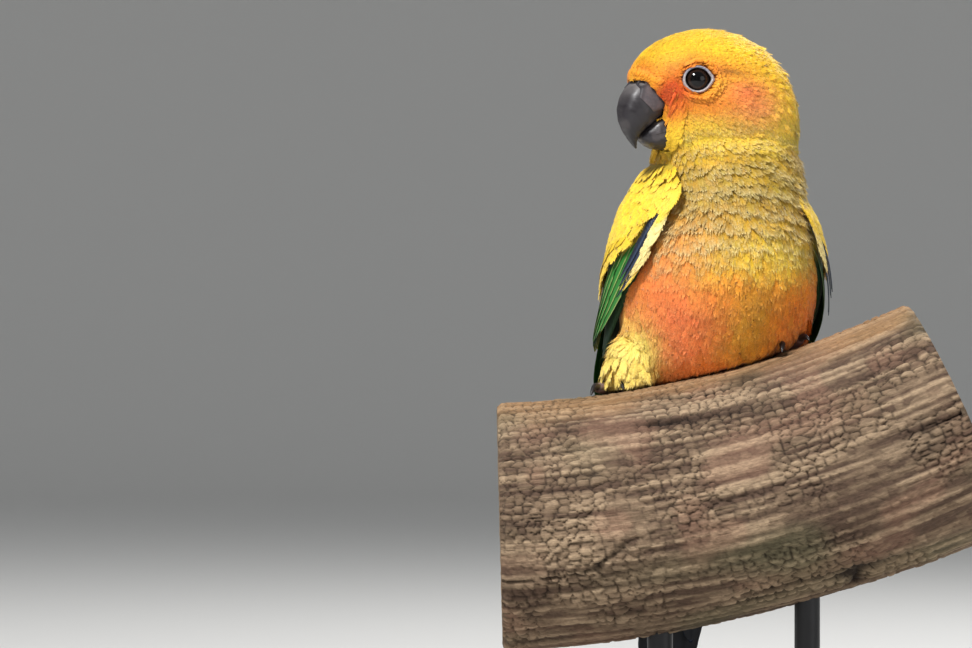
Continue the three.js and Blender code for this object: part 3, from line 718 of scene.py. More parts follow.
def scattered(mesh, count):
    """Random places on a mesh, with normals, spread evenly over its area."""
    mesh.calc_loop_triangles()
    corners = np.empty(len(mesh.loop_triangles) * 3, np.int32)
    mesh.loop_triangles.foreach_get("vertices", corners)
    corners = corners.reshape(-1, 3)
    points, normals = coordinates(mesh), directions(mesh)
    a, b, c = points[corners[:, 0]], points[corners[:, 1]], points[corners[:, 2]]
    area = np.linalg.norm(np.cross(b - a, c - a), axis=-1)
    chosen = chance.choice(len(corners), count, p=area / area.sum())
    shares = chance.dirichlet((1, 1, 1), count)
    at = (points[corners[chosen]] * shares[..., None]).sum(1)
    facing = unit((normals[corners[chosen]] * shares[..., None]).sum(1))
    return at, facing


def coat_roots(skin):
    """Places on the skin where a feather of the coat stands, with their normals."""
    points, normals = scattered(skin, COAT_TRIES)
    length = feather_length(points)
    from_axis, outwards = off_axis(to_head(points), EYE_PLACE, EYE_OUT)
    keep = (from_axis > EYE_RIM + 0.15) | (over_crest(points) < 70) | (outwards < -8)
    keep &= (to_body(points)[:, 1] < 24) | (over_crest(points) > -24)
    bill = tree_of("bill_upper", "bill_lower", "cere")
    wings = tree_of("wing_left", "wing_right")
    hard = tree_of("perch_branch", "tail", "foot_left", "foot_right")
    for i in np.flatnonzero(keep):
        at, out = Vector(points[i] * MM), Vector(normals[i])
        met = (bill.find_nearest(at, 0.4 * MM), wings.ray_cast(at, out, 8 * MM),
               bill.ray_cast(at, out, 2.5 * MM), hard.find_nearest(at, 1.0 * MM))
        keep[i] = all(found[0] is None for found in met)
    points, normals, length = points[keep], normals[keep], length[keep]
    chosen = spread(points, np.where(length < SHORT_FEATHER, 0.2, 0.15) * length)
    return points[chosen], normals[chosen]


def coat_spines(skin, points, lie, length, lifted):
    """Root, middle and tip of each feather of the coat, and the skin's normals under the tips."""
    surface = BVHTree.FromPolygons([v.co.copy() for v in skin.vertices], [p.vertices for p in skin.polygons])
    depth = coat_depth(points)
    spines = np.empty((len(points), 3, 3))
    under_tips = np.empty_like(points)
    for step, (reach, rise) in enumerate(((0, -0.15), (0.5, 0.42), (1, 0.92))):
        for i in range(len(points)):
            goal = points[i] + lie[i] * length[i] * reach
            near, under_tips[i], _, _ = surface.find_nearest(Vector(goal * MM))
            raised = depth[i] * rise * (1 if step < 2 else lifted[i] * chance.uniform(0.85, 1.1))
            spines[i, step] = np.array(near) / MM + under_tips[i] * raised
    return spines, under_tips


def grow_coat(skin):
    """The contour feathers of head, neck, trunk and thighs."""
    points, normals = coat_roots(skin)
    count = len(points)
    length = feather_length(points) * chance.uniform(0.82, 1.14, count)
    lie = coat_lie(points, normals)
    in_head, in_body, height = to_head(points), to_body(points), over_crest(points)
    jaw = smoothstep(in_head[:, 2] + 2 * rough(points, 5, 18), 1, -17) * smoothstep(height, 60, 70)
    collar = smoothstep(height, 76, 68) * smoothstep(height, 38, 52)
    arcs = 0.5 + 0.5 * np.sin(height * 1.25 + 2.4 * rough(points, 9, 16) + 0.0075 * in_body[:, 0] ** 2)
    arcs = arcs * np.maximum(collar, 0.9 * jaw)
    lifted = 0.8 + 0.35 * rough(points, 6, 15) * smoothstep(length, 3.5, 6) + 0.8 * arcs
    loose = (chance.random(count) < 0.1) & (height > 56)
    lifted = lifted + 0.9 * loose * smoothstep(in_head[:, 0], 14, -8)
    thigh = thigh_weight(in_body) * smoothstep(height, 44, 30)
    lifted = lifted + 0.9 * thigh * chance.random(count)
    spines, under_tips = coat_spines(skin, points, lie, length, lifted)
    facing = unit(normals + under_tips)
    edges = 0.1 + 0.1 * np.maximum(collar, jaw) + 0.6 * arcs + 0.25 * thigh
    colours = markings_and_painted_light(spines[:, 1] * 0.5 + spines[:, 2] * 0.5)
    colours = colours * chance.normal(1, 0.045, (count, 1)) * chance.normal(1, 0.03, (count, 3))
    # Lumps of tone at random, and the rows of the collar and jaw darker: painted shade between the raised
    # rows.
    light = 1 + 0.12 * rough(points, 3.2, 17) + 0.09 * rough(points, 1.3, 19) - 0.3 * arcs
    colours = colours * light[:, None]
    roots = unwrapped(points)
    on_thigh = (thigh_weight(in_body) > 0.5) & (height < 40)
    on_head = (length < SHORT_FEATHER) & (height > 62)
    zones = (on_head, (height > 50) & ~on_head, (height <= 50) & ~on_thigh, on_thigh)
    for where, (name, slot, teeth, wide, hairs) in zip(zones, COAT_ZONES):
        where = np.flatnonzero(where)
        where = where[np.argsort(roots[where, 0])]
        parts = math.ceil(len(where) * (6 * teeth + 2 + hairs) / COAT_PIECE)
        for number, some in enumerate(np.array_split(where, parts), 1):
            feathers(f"{name}_{number}", slot, spines[some], facing[some], length[some] * wide, colours[some],
                     edges[some], teeth, hairs, lies=lie[some], roots=roots[some])


FLESH = ("head", "neck", "torso", "thigh_left", "thigh_right")
# Zones of the coat: name, slot, barbs to a feather's side, half width to length, and loose barbs.
COAT_ZONES = (
    ("coat_head", "plumage_head", 9, 0.25, 14),
    ("coat_neck", "plumage_head", 14, 0.25, 30),
    ("coat_body", "plumage_breast", 15, 0.24, 38),
    ("coat_thighs", "plumage_breast", 10, 0.17, 22),
)
skin = skin_mesh()
skin_points = coordinates(skin)
# The skin is painted in the coat's colours, darkened as painted shade between and under the feathers.
tint(skin, markings_and_painted_light(skin_points) * 0.78)
bake_map(skin, unwrapped(skin_points))
piece("skin", skin, PLUMAGE, "plumage_breast", *FLESH)
grow_coat(skin)


# Long feathers, each a closed thin vane.
PRIMARY_OUTLINE = ((0, 0.75), (0.35, 1), (0.7, 0.95), (0.9, 0.66), (0.97, 0.4), (1, 0.06))
COVERT_OUTLINE = ((0, 0.85), (0.5, 1), (0.8, 0.88), (0.93, 0.58), (1, 0.08))
TAIL_OUTLINE = ((0, 0.5), (0.3, 0.75), (0.66, 1), (0.88, 0.68), (0.96, 0.36), (1, 0.05))


def vane(t, middles, sides, outs, half, outline, shaft):
    """One long feather, closed and thin, its shaft off the middle by a part of its half width.
    It gives the points, how far along and across each is, 1 for those on top, and the faces."""
    columns = np.array([-1, -0.9, -0.68, -0.38, -0.1, 0.1, 0.38, 0.68, 0.9, 1.0])
    columns = columns + shaft * (1 - columns ** 2)
    share, = smooth_rows(outline, t)
    rows, wide = len(t), len(columns)
    s = np.repeat(columns[None], rows, 0)
    edge = np.ones((rows, 2))
    for side in (0, 1):
        nicks = chance.choice(rows - 8, max(2, rows // 9), replace=False) + 6
        edge[nicks, side] = chance.uniform(0.7, 0.9, len(nicks))
    edge += chance.normal(0, 0.012, edge.shape)
    s[:, :2] *= edge[:, :1] ** np.array([1, 0.5])
    s[:, -2:] *= edge[:, 1:] ** np.array([0.5, 1])
    width = (half * share)[:, None]
    ridge = 0.2 * np.exp(-(((s - shaft) * width / 0.3) ** 2)) * (1 - 0.6 * t[:, None])
    body = VANE_THICK * 0.5 * (1 - columns[None] ** 2) + ridge * (np.abs(columns[None]) < 0.95)
    camber = -0.1 * width * s ** 2
    flat = middles[:, None] + sides[:, None] * (s * width)[..., None]
    top = flat + outs[:, None] * (camber + body)[..., None]
    under = flat + outs[:, None] * (camber - body)[..., None]
    over_ids = np.arange(rows * wide).reshape(rows, wide)
    under_ids = over_ids + rows * wide
    for rim in ((slice(None), 0), (slice(None), -1), 0, -1):
        under_ids[rim] = over_ids[rim]
    faces = []
    for ids, turn in ((over_ids, 1), (under_ids, -1)):
        quad = np.stack([ids[:-1, :-1], ids[:-1, 1:], ids[1:, 1:], ids[1:, :-1]], -1).reshape(-1, 4)
        faces.append(quad[:, ::turn])
    points = np.concatenate([top.reshape(-1, 3), under.reshape(-1, 3)])
    along = np.tile(np.repeat(t, wide), 2)
    shown = np.repeat([1.0, 0.0], rows * wide)
    return points, along, np.tile(s.reshape(-1), 2), shown, np.concatenate(faces)


def long_feathers(name, made, slot, *nodes):
    """Long feathers as one piece. Each of made holds a vane, its length and half width, and its colouring."""
    points, tones, lies, spots, faces = [], [], [], [], []
    start = 0
    for order, ((at, along, across, shown, quads), length, half, colouring) in enumerate(made):
        points.append(at)
        tones.append(colouring(along, across, shown))
        lies.append(np.stack([np.abs(across) * half, -along * length, np.full_like(along, order * 7.0)], -1))
        column = (order + 0.1 + 0.8 * (across + 1) / 2) / len(made)
        spots.append(np.stack([column, (0.02 + 0.46 * along) + 0.5 * (1 - shown)], -1))
        faces.append(quads + start)
        start += len(at)
    mesh = joined_mesh(name, np.concatenate(points), np.concatenate(faces))
    tint(mesh, np.clip(np.concatenate(tones), 0, 1))
    mark(mesh, "vane", np.concatenate(lies))
    bake_map(mesh, np.clip(np.concatenate(spots), 0, 1))
    tidy_mesh(mesh)
    piece(name, mesh, VANES, slot, *nodes)


def tidy_mesh(mesh):
    """Drops points that no face uses, and turns the faces outwards."""
    shape = bmesh.new()
    shape.from_mesh(mesh)
    loose = [vertex for vertex in shape.verts if not vertex.link_faces]
    bmesh.ops.delete(shape, geom=loose, context="VERTS")
    bmesh.ops.recalc_face_normals(shape, faces=shape.faces)
    shape.to_mesh(mesh)
    shape.free()


# The folded wings: height, middle y, half width, half depth, and the angles of the edges from straight ahead.
WING_ROWS = (
    (-76, 57.5, 19.6, 11.5, 106, 124), (-60, 50.5, 20.6, 13, 105, 130), (-45, 43, 22.2, 15, 104, 137),
    (-25, 32, 26.8, 17.5, 103, 145), (-10, 24, 30.5, 20.5, 101, 155), (0, 18, 33.8, 23.5, 98, 164),
    (8, 12.5, 35.8, 26.5, 91, 168), (16, 7, 37, 29.8, 81, 170), (26, 1.4, 37.4, 32.6, 69, 170),
    (36, -3, 36.6, 33.6, 60, 167), (45, -5, 35.2, 32, 53, 163), (54, -6, 31.8, 29.2, 48, 158),
    (61, -6.2, 27.8, 26.2, 45, 151), (66, -6.4, 24.6, 23.4, 50, 144), (69, -6.6, 22, 21, 58, 136),
)
WINGS = {"left": {"side": 1, "lead": 10, "lift": -2.5, "flare": -1.2},
         "right": {"side": -1, "lead": -1, "lift": 1.5, "flare": 5}}
ARM_ROWS = ((8, 4.8, 3), (18, 4.2, 3), (26, 3.2, 3), (34, 2, 4), (44, 1.7, 4.4), (50, 1, 4.8), (55, 0.2, 5.2),
            (62, 0, 4.6), (67, 0, 2.8), (69, 0.3, 1.4))


def wing_place(wing, across, height, depth=0.0):
    """Point, outward and backward directions on a folded wing, in the body's frame."""
    across, height, depth = np.broadcast_arrays(np.asarray(across, float), height, depth)
    middle_y, half_width, half_depth, leading, trailing = smooth_rows(WING_ROWS, height)
    opened = leading + wing["lead"] * smoothstep(height, 5, 60) * (1 - across)
    angle = np.radians(lerp(opened, trailing, across))
    out = unit(np.stack([np.sin(angle) / half_width, -np.cos(angle) / half_depth, 0 * angle], -1))
    wide = half_width + wing["flare"] * (1 - smoothstep(height, -8, 28))
    at = np.stack([wide * np.sin(angle), middle_y - half_depth * np.cos(angle), height], -1)
    back = np.stack([-out[..., 1] * wing["side"], out[..., 0], 0 * angle], -1)
    mirror = np.array([wing["side"], 1, 1])
    return (at - out * depth[..., None]) * mirror + [0, 0, wing["lift"]], out * mirror, back


def quilled(tone, across, strength):
    """tone, darker along the feather's shaft."""
    quill = np.exp(-((across / 0.05) ** 2)) * strength
    return tone * (1 - quill[:, None])


def tier_colour(kind, share, dark):
    """How a tier's feathers are painted, from how far back in its row each stands."""
    def paint_vane(along, across, shown):
        outer = smoothstep(-across, -0.35, 0.1)
        if kind == "primary":
            tone = shade(DUSK, DEEP_GREEN, outer)
            tone = shade(tone, GREEN, outer * smoothstep(along, 0.95, 0.6) * (0.6 + 0.4 * share))
            rim = smoothstep(-across, 0.72, 0.95) * smoothstep(along, 0.9, 0.5)
            tone = shade(tone, LIGHT_GREEN, 0.6 * rim)
            tone = shade(tone, BLUE_BLACK, smoothstep(along, 0.72, 0.95))
        elif kind == "secondary":
            tone = shade(BLUE_BLACK, GREEN, outer * 0.9)
            tone = shade(tone, LIGHT_GREEN, 0.5 * smoothstep(-across, 0.7, 0.95))
        elif kind == "greater":
            tone = shade(GREEN, DEEP_GREEN, 0.5 * smoothstep(across, 0.1, 0.8))
            tone = shade(tone, PALE_GREEN, 0.75 * smoothstep(-across, 0.8, 0.97))
            tone = shade(tone, LEMON, dark * smoothstep(along, 0.55, 0.75))
        elif kind == "strip":
            tone = shade(BLUE_BLACK, SLATE, 0.6 * smoothstep(-across, 0.2, 0.9))
        else:
            tone = shade(LEMON, GOLD, smoothstep(along, 0.5, 1) * 0.6)
            tone = shade(tone, LIGHT_GREEN, 0.5 * smoothstep(share, 0.7, 1))
            centre = smoothstep(np.abs(across), 0.45, 0.1) * smoothstep(along, 0.5, 0.7)
            tone = shade(tone, DEEP_GREEN, dark * centre * 0.9)
        tone = shade(tone, tone * 0.4 + DUSK * 0.6, 0.85 * (1 - shown))
        # The shaft is darker, and each feather darker towards its root as painted shade under the feathers
        # that cover it.
        return quilled(tone, across, 0.35) * (0.72 + 0.28 * smoothstep(along, 0, 0.4))[:, None]
    return paint_vane


# Each tier: kind, row of places across and the first used, heights of roots and of tips from front to back,
# half width, depths at root and tip, lean, outline and stations along.
TIERS = (
    ("primary", np.linspace(0.1, 0.76, 8), 0, (9, 11, 14), (-74, -48, -20),
     4.7, (5.6, 3.4), 0.2, PRIMARY_OUTLINE, 46),
    ("secondary", np.linspace(0.1, 0.93, 13), 3, (18, 17, 16), (-13, -8, -1),
     4.3, (4.7, 1.9), 0.2, COVERT_OUTLINE, 24),
    ("greater", np.linspace(0.06, 0.94, 16), 0, (50, 40, 34), (16, 9, 8),
     3.7, (3.1, 0.8), 0.16, COVERT_OUTLINE, 26),
    ("strip", np.linspace(0.0, 0.045, 3), 0, (55, 55, 54), (26, 29, 33),
     1.4, (1.4, 0.2), 0.14, COVERT_OUTLINE, 22),
    ("median", np.linspace(0.15, 0.95, 14), 0, (61, 52, 47), (46, 31, 26),
     3.9, (2.0, 0.1), 0.16, COVERT_OUTLINE, 18),
)


def wing_vanes(wing):
    """The long feathers of a wing, tier by tier, as long_feathers takes them."""
    made = []
    for kind, row, first, roots, tips, half, depth, lean, outline, stations in TIERS:
        pitch = row[1] - row[0]
        used = row[first:]
        for i, across in enumerate(used):
            share = i / (len(used) - 1)
            root = np.interp(share, (0, 0.4, 1), roots) + chance.normal(0, 0.5)
            tip = np.interp(share, (0, 0.4, 1), tips) + chance.normal(0, 0.7)
            t = np.linspace(0, 1, stations) ** 0.92
            height = lerp(root, tip, t)
            here, out_here, _ = wing_place(wing, across - pitch / 2, height)
            following, out_next, _ = wing_place(wing, across + pitch / 2, height)
            step = np.linalg.norm(here - following, axis=-1)
            turn = np.arccos(np.clip((out_here * out_next).sum(-1), -1, 1))
            rise = lean * step - turn * (half - step / 2)
            climb = (i + first - (len(row) - 1) / 2) * np.maximum(0, LAYER - rise)
            at, out, back = wing_place(wing, across, height, lerp(depth[0], depth[1], t) - climb)
            if kind == "median":
                dark = float(chance.random() < 0.3)
            else:
                dark = float(kind == "greater" and i in (5, 6))
            shaft = -0.3 if kind == "primary" else -0.1
            sides, outs = unit(back - out * lean), unit(out + back * lean)
            points, *rest = vane(t, at, sides, outs, half, outline, shaft)
            made.append(((from_body(points), *rest), root - tip, half, tier_colour(kind, share, dark)))
    return made


def wing_core(wing):
    """The arm under the coverts."""
    def place(u, v):
        across = 1 - np.abs(2 * u - 1)
        height = lerp(8, 69, v)
        top, thick = smooth_rows(ARM_ROWS, height)
        roundness = np.sin(np.clip(across, 0, 1) * math.pi) ** 0.4
        depth = top + 0.35 + (thick - 0.35) * 0.5 * (1 + np.where(u > 0.5, 1, -1) * roundness)
        return from_body(wing_place(wing, across, height, depth)[0])
    return mapped_sheet("arm", 60, 40, place, close=True)[0]


def small_coverts(name, wing):
    """Rows of small feathers over the arm, with the pale ones along its leading edge."""
    rows = []
    for height in np.arange(67.5, 24, -2.0):
        low = np.interp(height, (27, 34, 46, 55, 60), (0.52, 0.4, 0.16, 0.04, -0.02))
        for across in np.arange(low, 0.985, 0.042 if height < 60 else 0.05):
            rows.append((across + chance.normal(0, 0.009), height + chance.normal(0, 0.6), 0))
    for height in np.arange(62, 35 if wing["side"] < 0 else 44, -1.3):
        for across in (-0.036, -0.018):
            rows.append((across + chance.normal(0, 0.005), height + chance.normal(0, 0.5), 1))
    across, height, edge = np.array(rows).T
    reach = np.where(edge == 1, 6.4, np.interp(height, (30, 50, 67), (7.4, 5.6, 3.6)))
    reach = reach * chance.uniform(0.85, 1.1, len(rows))
    stations = []
    for part, sunk in ((0, 0.5), (0.5, -0.15), (1, -0.4)):
        level = np.clip(height - reach * part, -70, 69)
        under, _ = smooth_rows(ARM_ROWS, np.clip(level, 30, 69))
        stations.append(wing_place(wing, across + 0.02 * part, level, np.minimum(under, 1.6) * 0.6 + sunk))
    at = np.stack([from_body(station[0]) for station in stations], 1)
    facing = spun(unit(stations[1][1] + stations[2][1]), BODY_YAW)
    colours = shade(LEMON, GOLD, 0.5 + 0.5 * rough(at[:, 0], 6, 31))
    fleck = (chance.random(len(rows)) < 0.05) & (across > 0.45)
    colours = shade(colours, DEEP_GREEN, fleck * 0.6)
    colours = shade(colours, LIGHT_GREEN, (1 - fleck) * 0.35 * smoothstep(across, 0.75, 1.0))
    pale = (edge == 1) * smoothstep(height, 57, 52) * smoothstep(height, 34, 42)
    colours = shade(colours, CREAM, 0.7 * pale)
    colours = colours * chance.normal(1, 0.05, (len(rows), 1))
    wide = np.where(edge == 1, 0.19 * (0.5 + 0.5 * smoothstep(height, 34, 46)), 0.34)
    feathers(name, "plumage_wing", at, facing, reach * wide, colours, 0.22, 8, fuzz=0.7)


def folded_wings():
    for name, wing in WINGS.items():
        core = wing_core(wing)
        at = coordinates(core)
        # The arm is dimmed yellow going to dimmed dark green low down: painted shade under the coverts and
        # between wing and belly.
        tint(core, shade(LEMON * 0.55, DEEP_GREEN * 0.7, smoothstep(to_body(at)[:, 2], 46, 38)))
        bake_map(core, unwrapped(at))
        piece(f"wing_core_{name}", core, PLUMAGE, "plumage_wing", f"wing_{name}")
        long_feathers(f"flight_feathers_{name}", wing_vanes(wing), "plumage_wing")
        small_coverts(f"small_coverts_{name}", wing)


# The tail: lengths of its pairs, and half width and half thickness along its root and its coverts.
TAIL_SHARES = (1, 0.93, 0.84, 0.73, 0.62, 0.52)
STUB_ROWS = ((-3, 10, 6.4), (0.3, 9.6, 6), (8, 9, 5.6), (16, 7.2, 4.6), (21, 3, 2))
TAIL_COVERT_ROWS = ((-5, 10.4, 7), (8, 9.4, 6.2), (16, 8.2, 5.4), (34, 8.8, 4.2))


def tail_place(along, across, up):
    """Places from the tail's root, in the body's frame."""
    along, across, up = np.broadcast_arrays(along, across, up)
    place = TAIL_ROOT + TAIL_DOWN * along[..., None] + TAIL_BACK * up[..., None]
    return place + np.array([1.0, 0, 0]) * across[..., None]


def tail_colour(pair):
    def paint_vane(along, across, shown):
        tone = shade(TAIL_OLIVE, TAIL_BLUE, smoothstep(along, 0.5, 0.88))
        tone = shade(tone, BLUE_BLACK, 0.5 * smoothstep(np.abs(across), 0.6, 1) + 0.2 * (pair > 2))
        return quilled(shade(tone, paint(58, 54, 46), 0.8 * (1 - shown)), across, 0.4)
    return paint_vane


def tail():
    """The tail's long feathers, in pairs from the middle one outwards and down."""
    made = []
    for pair, share in enumerate(TAIL_SHARES):
        for order, side in enumerate((1, -1)):
            t = np.linspace(0, 1, 52) ** 0.94
            up = 4.6 - TAIL_LAYER * (2 * pair + order)
            across = side * lerp(1.2 + 0.5 * pair, 1.6 + 1.4 * pair, t)
            length = TAIL_LENGTH * share
            middles = from_body(tail_place(lerp(3, length, t), across, up))
            sides = np.broadcast_to(spun([side, 0, 0], BODY_YAW), middles.shape)
            outs = np.broadcast_to(spun(TAIL_BACK, BODY_YAW), middles.shape)
            feather = vane(t, middles, sides, outs, TAIL_HALF, TAIL_OUTLINE, 0.12)
            made.append((feather, length, TAIL_HALF, tail_colour(pair)))
    long_feathers("tail_feathers", made, "plumage_tail", "tail")


def tail_core():
    """The root of the tail, under its coverts."""
    def stub(u, v):
        along = lerp(-3, 21, v)
        wide, thick = smooth_rows(STUB_ROWS, along)
        return from_body(tail_place(along, wide * np.cos(u * TURN), thick * np.sin(u * TURN)))
    mesh, u, v = mapped_sheet("stub", 48, 24, stub, close=True)
    # The stub is painted in the coat's colours, darkened as painted shade under the coverts.
    tint(mesh, markings_and_painted_light(coordinates(mesh)) * 0.6)
    bake_map(mesh, np.stack([u, v], -1))
    piece("tail_core", mesh, PLUMAGE, "plumage_tail")


def tail_coverts():
    """Small feathers round the root of the tail."""
    count = 620
    turn = chance.uniform(0, TURN, count)
    along = chance.uniform(-5, 19, count)
    order = np.argsort(-along)
    turn, along = turn[order], along[order]
    reach = lerp(9, 15, smoothstep(along, -4, 16)) * chance.uniform(0.85, 1.1, count)
    stations = []
    for part, rise in ((0, -0.3), (0.5, 0.7), (1, 1.3)):
        level = along + reach * part
        wide, thick = smooth_rows(TAIL_COVERT_ROWS, level)
        stations.append(tail_place(level, (wide + rise) * np.cos(turn), (thick + rise) * np.sin(turn)))
    spines = np.stack([from_body(place) for place in stations], 1)
    out = [1, 0, 0] * np.cos(turn)[:, None] + TAIL_BACK * np.sin(turn)[:, None]
    colours = shade(OLIVE_GOLD, TAIL_OLIVE, 0.5 + 0.5 * rough(spines[:, 0], 5, 41))
    colours = colours * chance.normal(1, 0.06, (count, 1))
    roots = within(np.stack([turn / TURN, (along + 5) / 26], -1))
    feathers("tail_coverts", "plumage_tail", spines, spun(unit(out), BODY_YAW), reach * 0.22, colours,
             0.25, 12, fuzz=0.8, roots=roots)


folded_wings()
tail()
tail_core()
tail_coverts()


# Horn, bare skin and eyes.
def horn_finish():
    """Smooth dark horn, worn and a little flaky in places."""
    made = Finish("horn", 0.3)
    grain = made.noise(made.scaled(made.places(), 1, 1, 2.4), 420, 4)
    made.painted(made.ramp(grain, 0.3, 0.7, 0.8, 1.25))
    made.give(made.ramp(grain, 0.35, 0.7, 0.36, 0.6), made.shader.inputs["Roughness"])
    made.set(Coat_Weight=0.08, Coat_Roughness=0.3)
    made.bump(grain, 0.12, 0.9)
    made.bump(made.noise(made.places(), 2200, 2), 0.015, 0.5)
    return made.material


def bare_skin_finish(name, roughness, cells, depth):
    """Bare skin, with fine pebbling and creases."""
    made = Finish(name, roughness, 0.4)
    made.set(Subsurface_Weight=0.08, Subsurface_Scale=0.6 * MM)
    values = {"Vector": made.places(), "Scale": cells}
    pebbles = made.node("TexVoronoi", values, feature="SMOOTH_F1").outputs["Distance"]
    patches = made.noise(made.places(), cells * 0.45, 3)
    made.painted(made.ramp(pebbles, 0.1, 0.7, 1.08, 0.86), made.ramp(patches, 0.3, 0.7, 0.9, 1.1))
    made.bump(pebbles, -depth, 0.8)
    return made.material


def eye_finish():
    made = Finish("eye", 0.05, 0.32)
    made.colour(made.attribute("tint"))
    made.bump(made.noise(made.places(), 700, 1), 0.004, 0.3)
    return made.material


HORN = horn_finish()
LID_SKIN = bare_skin_finish("pale bare skin", 0.55, 1500, 0.05)
SCALES = bare_skin_finish("scaled skin", 0.5, 1100, 0.07)
EYE = eye_finish()

# The bill's rings, in the head's frame: forward and up of the upper and of the lower point, and half width.
UPPER_BILL = (
    (25.5, 6.2, 15, -2.4, 5.8), (28.6, 4.2, 18.2, -4.6, 6.3), (30.8, 1.4, 21.4, -7, 6.1),
    (32.1, -2, 23.8, -8.8, 5.4), (32.3, -5.4, 25.4, -10.3, 4.4), (31.6, -8.6, 26.4, -11.7, 3.2),
    (30.2, -11.4, 26.9, -13.1, 2.1), (28.5, -13.8, 26.9, -14.5, 1.1), (27, -15.6, 26.6, -15.5, 0.35),
)
LOWER_BILL = (
    (13, -3.6, 12.5, -14.4, 5.2), (17.4, -3.8, 16.5, -15.6, 5.9), (20.6, -5.8, 20, -15.5, 5.6),
    (23, -8, 22.6, -14.7, 4.5), (24.8, -9.8, 24.5, -13.6, 3), (25.9, -11.8, 25.7, -12.6, 1.4),
)
BILL_SQUARENESS = 0.62
NOSTRIL = np.array([26.9, 3.9, 4.4])
NOSTRIL_OUT = unit(np.array([0.35, 0.75, 0.6]))


def bill_ring(rows, u, v, swell):
    """Places round a bill, swelled out by a number for each."""
    keyed = np.column_stack([np.arange(len(rows)), rows])
    top_forward, top_up, low_forward, low_up, half = smooth_rows(keyed, v * (len(rows) - 1))
    top = np.stack([top_forward, 0 * half, top_up], -1)
    low = np.stack([low_forward, 0 * half, low_up], -1)
    turn = u * TURN
    across = np.sign(np.cos(turn)) * np.abs(np.cos(turn)) ** BILL_SQUARENESS
    reach = (top - low) / 2
    reach = reach + unit(reach) * swell[:, None]
    place = (top + low) / 2 + reach * np.sin(turn)[:, None]
    place[:, 1] += (half + swell) * across
    return place


def bill():
    """The two mandibles, of horn worn at the edges."""
    def upper(u, v):
        ripple = 0.05 * np.sin(v * 46 + 2 * np.sin(u * TURN))
        ripple = ripple * smoothstep(v, 0.1, 0.3) * smoothstep(v, 0.95, 0.7)
        edge = smoothstep(np.sin(u * TURN), -0.25, -0.75)
        chips = 0.1 * edge * rough(np.stack([u * 60, v * 40, 0 * u], -1), 2.4, 51)
        taper = np.sqrt(np.clip(1 - smoothstep(v, 0.93, 1.0) ** 2, 0.002, 1))
        return from_head(bill_ring(UPPER_BILL, u, v, ripple + chips - 0.3 * (1 - taper)))

    def lower(u, v):
        flakes = 0.12 * np.clip(rough(np.stack([u * 40, v * 30, 0 * u], -1), 2.2, 52), -0.2, 1)
        return from_head(bill_ring(LOWER_BILL, u, v, flakes * smoothstep(v, 0.2, 0.4)))

    for part, place in (("upper", upper), ("lower", lower)):
        name = f"{part}_mandible"
        mesh, u, v = mapped_sheet(name, 120, 120, place, close=True)
        at = to_head(coordinates(mesh))
        scuffs = smoothstep(rough(at, (2.4, 2.4, 4), 53), 0.15, 0.7)
        colour = shade(paint(37, 33, 37), paint(84, 77, 77), 0.5 * scuffs)
        if part == "upper":
            # A pale patch on top of the upper bill by the cere: a painted sheen, partly paler worn horn.
            pale = blob(at, (25.6, 0, 4.2), (7, 7, 3.8)) * (0.7 + 0.3 * rough(at, 1.6, 54))
            colour = shade(colour, paint(150, 144, 142), 0.75 * np.clip(pale, 0, 1))
            colour = shade(colour, paint(26, 24, 27), smoothstep(at[:, 2], -6, -13))
        else:
            colour = shade(colour, paint(96, 88, 84), 0.6 * smoothstep(rough(at, (3, 2, 2), 55), 0.1, 0.6))
        tint(mesh, np.clip(colour, 0, 1))
        sheet_piece(name, mesh, u, v, HORN, "horn", f"bill_{part}")


def cere_edges(in_head):
    """How far places are inside the lower and the front edge of the cere."""
    forward, _, up = in_head.T
    return up - 0.6 + 0.25 * forward, 29.7 - 0.35 * up - forward


def cere():
    """The saddle of bare skin over the root of the bill, pierced by the nostrils."""
    def place(u, v):
        along = v * 1.9 / (len(UPPER_BILL) - 1)
        base = bill_ring(UPPER_BILL, u, along, 0 * u)
        height, before = cere_edges(base)
        puffed = 0.75 * smoothstep(height, -0.2, 2.2) * smoothstep(before, -0.2, 1.6) - 0.45
        puffed = puffed + 0.5 * blob(base, (27, 0, 4.4), (3, 6, 2.6))
        off, outwards = off_axis(base, NOSTRIL, NOSTRIL_OUT)
        rim = 0.28 * np.exp(-(((off - 1.35) / 0.4) ** 2))
        puffed = puffed + (outwards > -3) * (rim - 1.5 * smoothstep(off, 1.05, 0.6))
        return from_head(bill_ring(UPPER_BILL, u, along, puffed))

    mesh, u, v = mapped_sheet("cere", 190, 90, place, close=True)
    at = to_head(coordinates(mesh))
    height, before = cere_edges(at)
    colour = shade(paint(84, 78, 82), paint(112, 98, 98), 0.5 + 0.5 * rough(at, 2, 56))
    colour = shade(colour, paint(50, 46, 50), 0.95 * smoothstep(np.minimum(before * 0.8, height), 2.6, 0.2))
    # The nostrils are painted dark: painted shade in their hollows.
    colour = shade(colour, paint(48, 34, 36), smoothstep(off_axis(at, NOSTRIL, NOSTRIL_OUT)[0], 1.15, 0.6))
    tint(mesh, colour)
    sheet_piece("cere_skin", mesh, u, v, LID_SKIN, "bare_skin", "cere")


def eye_axes(side):
    """Middle, outward, forward and upward directions of an eye, in the head's frame."""
    mirror = np.array([1, side, 1])
    forward = unit(np.array([1, 0, 0]) - EYE_OUT * EYE_OUT[0])
    upward = np.cross(forward, EYE_OUT)
    upward = upward * np.sign(upward[2])
    return EYE_PLACE * mirror, EYE_OUT * mirror, forward * mirror, upward * mirror


LID_SEAT = math.sqrt((EYE_RADIUS + 0.3) ** 2 - 3.5 ** 2) + 0.15  # where the lid meets the ball
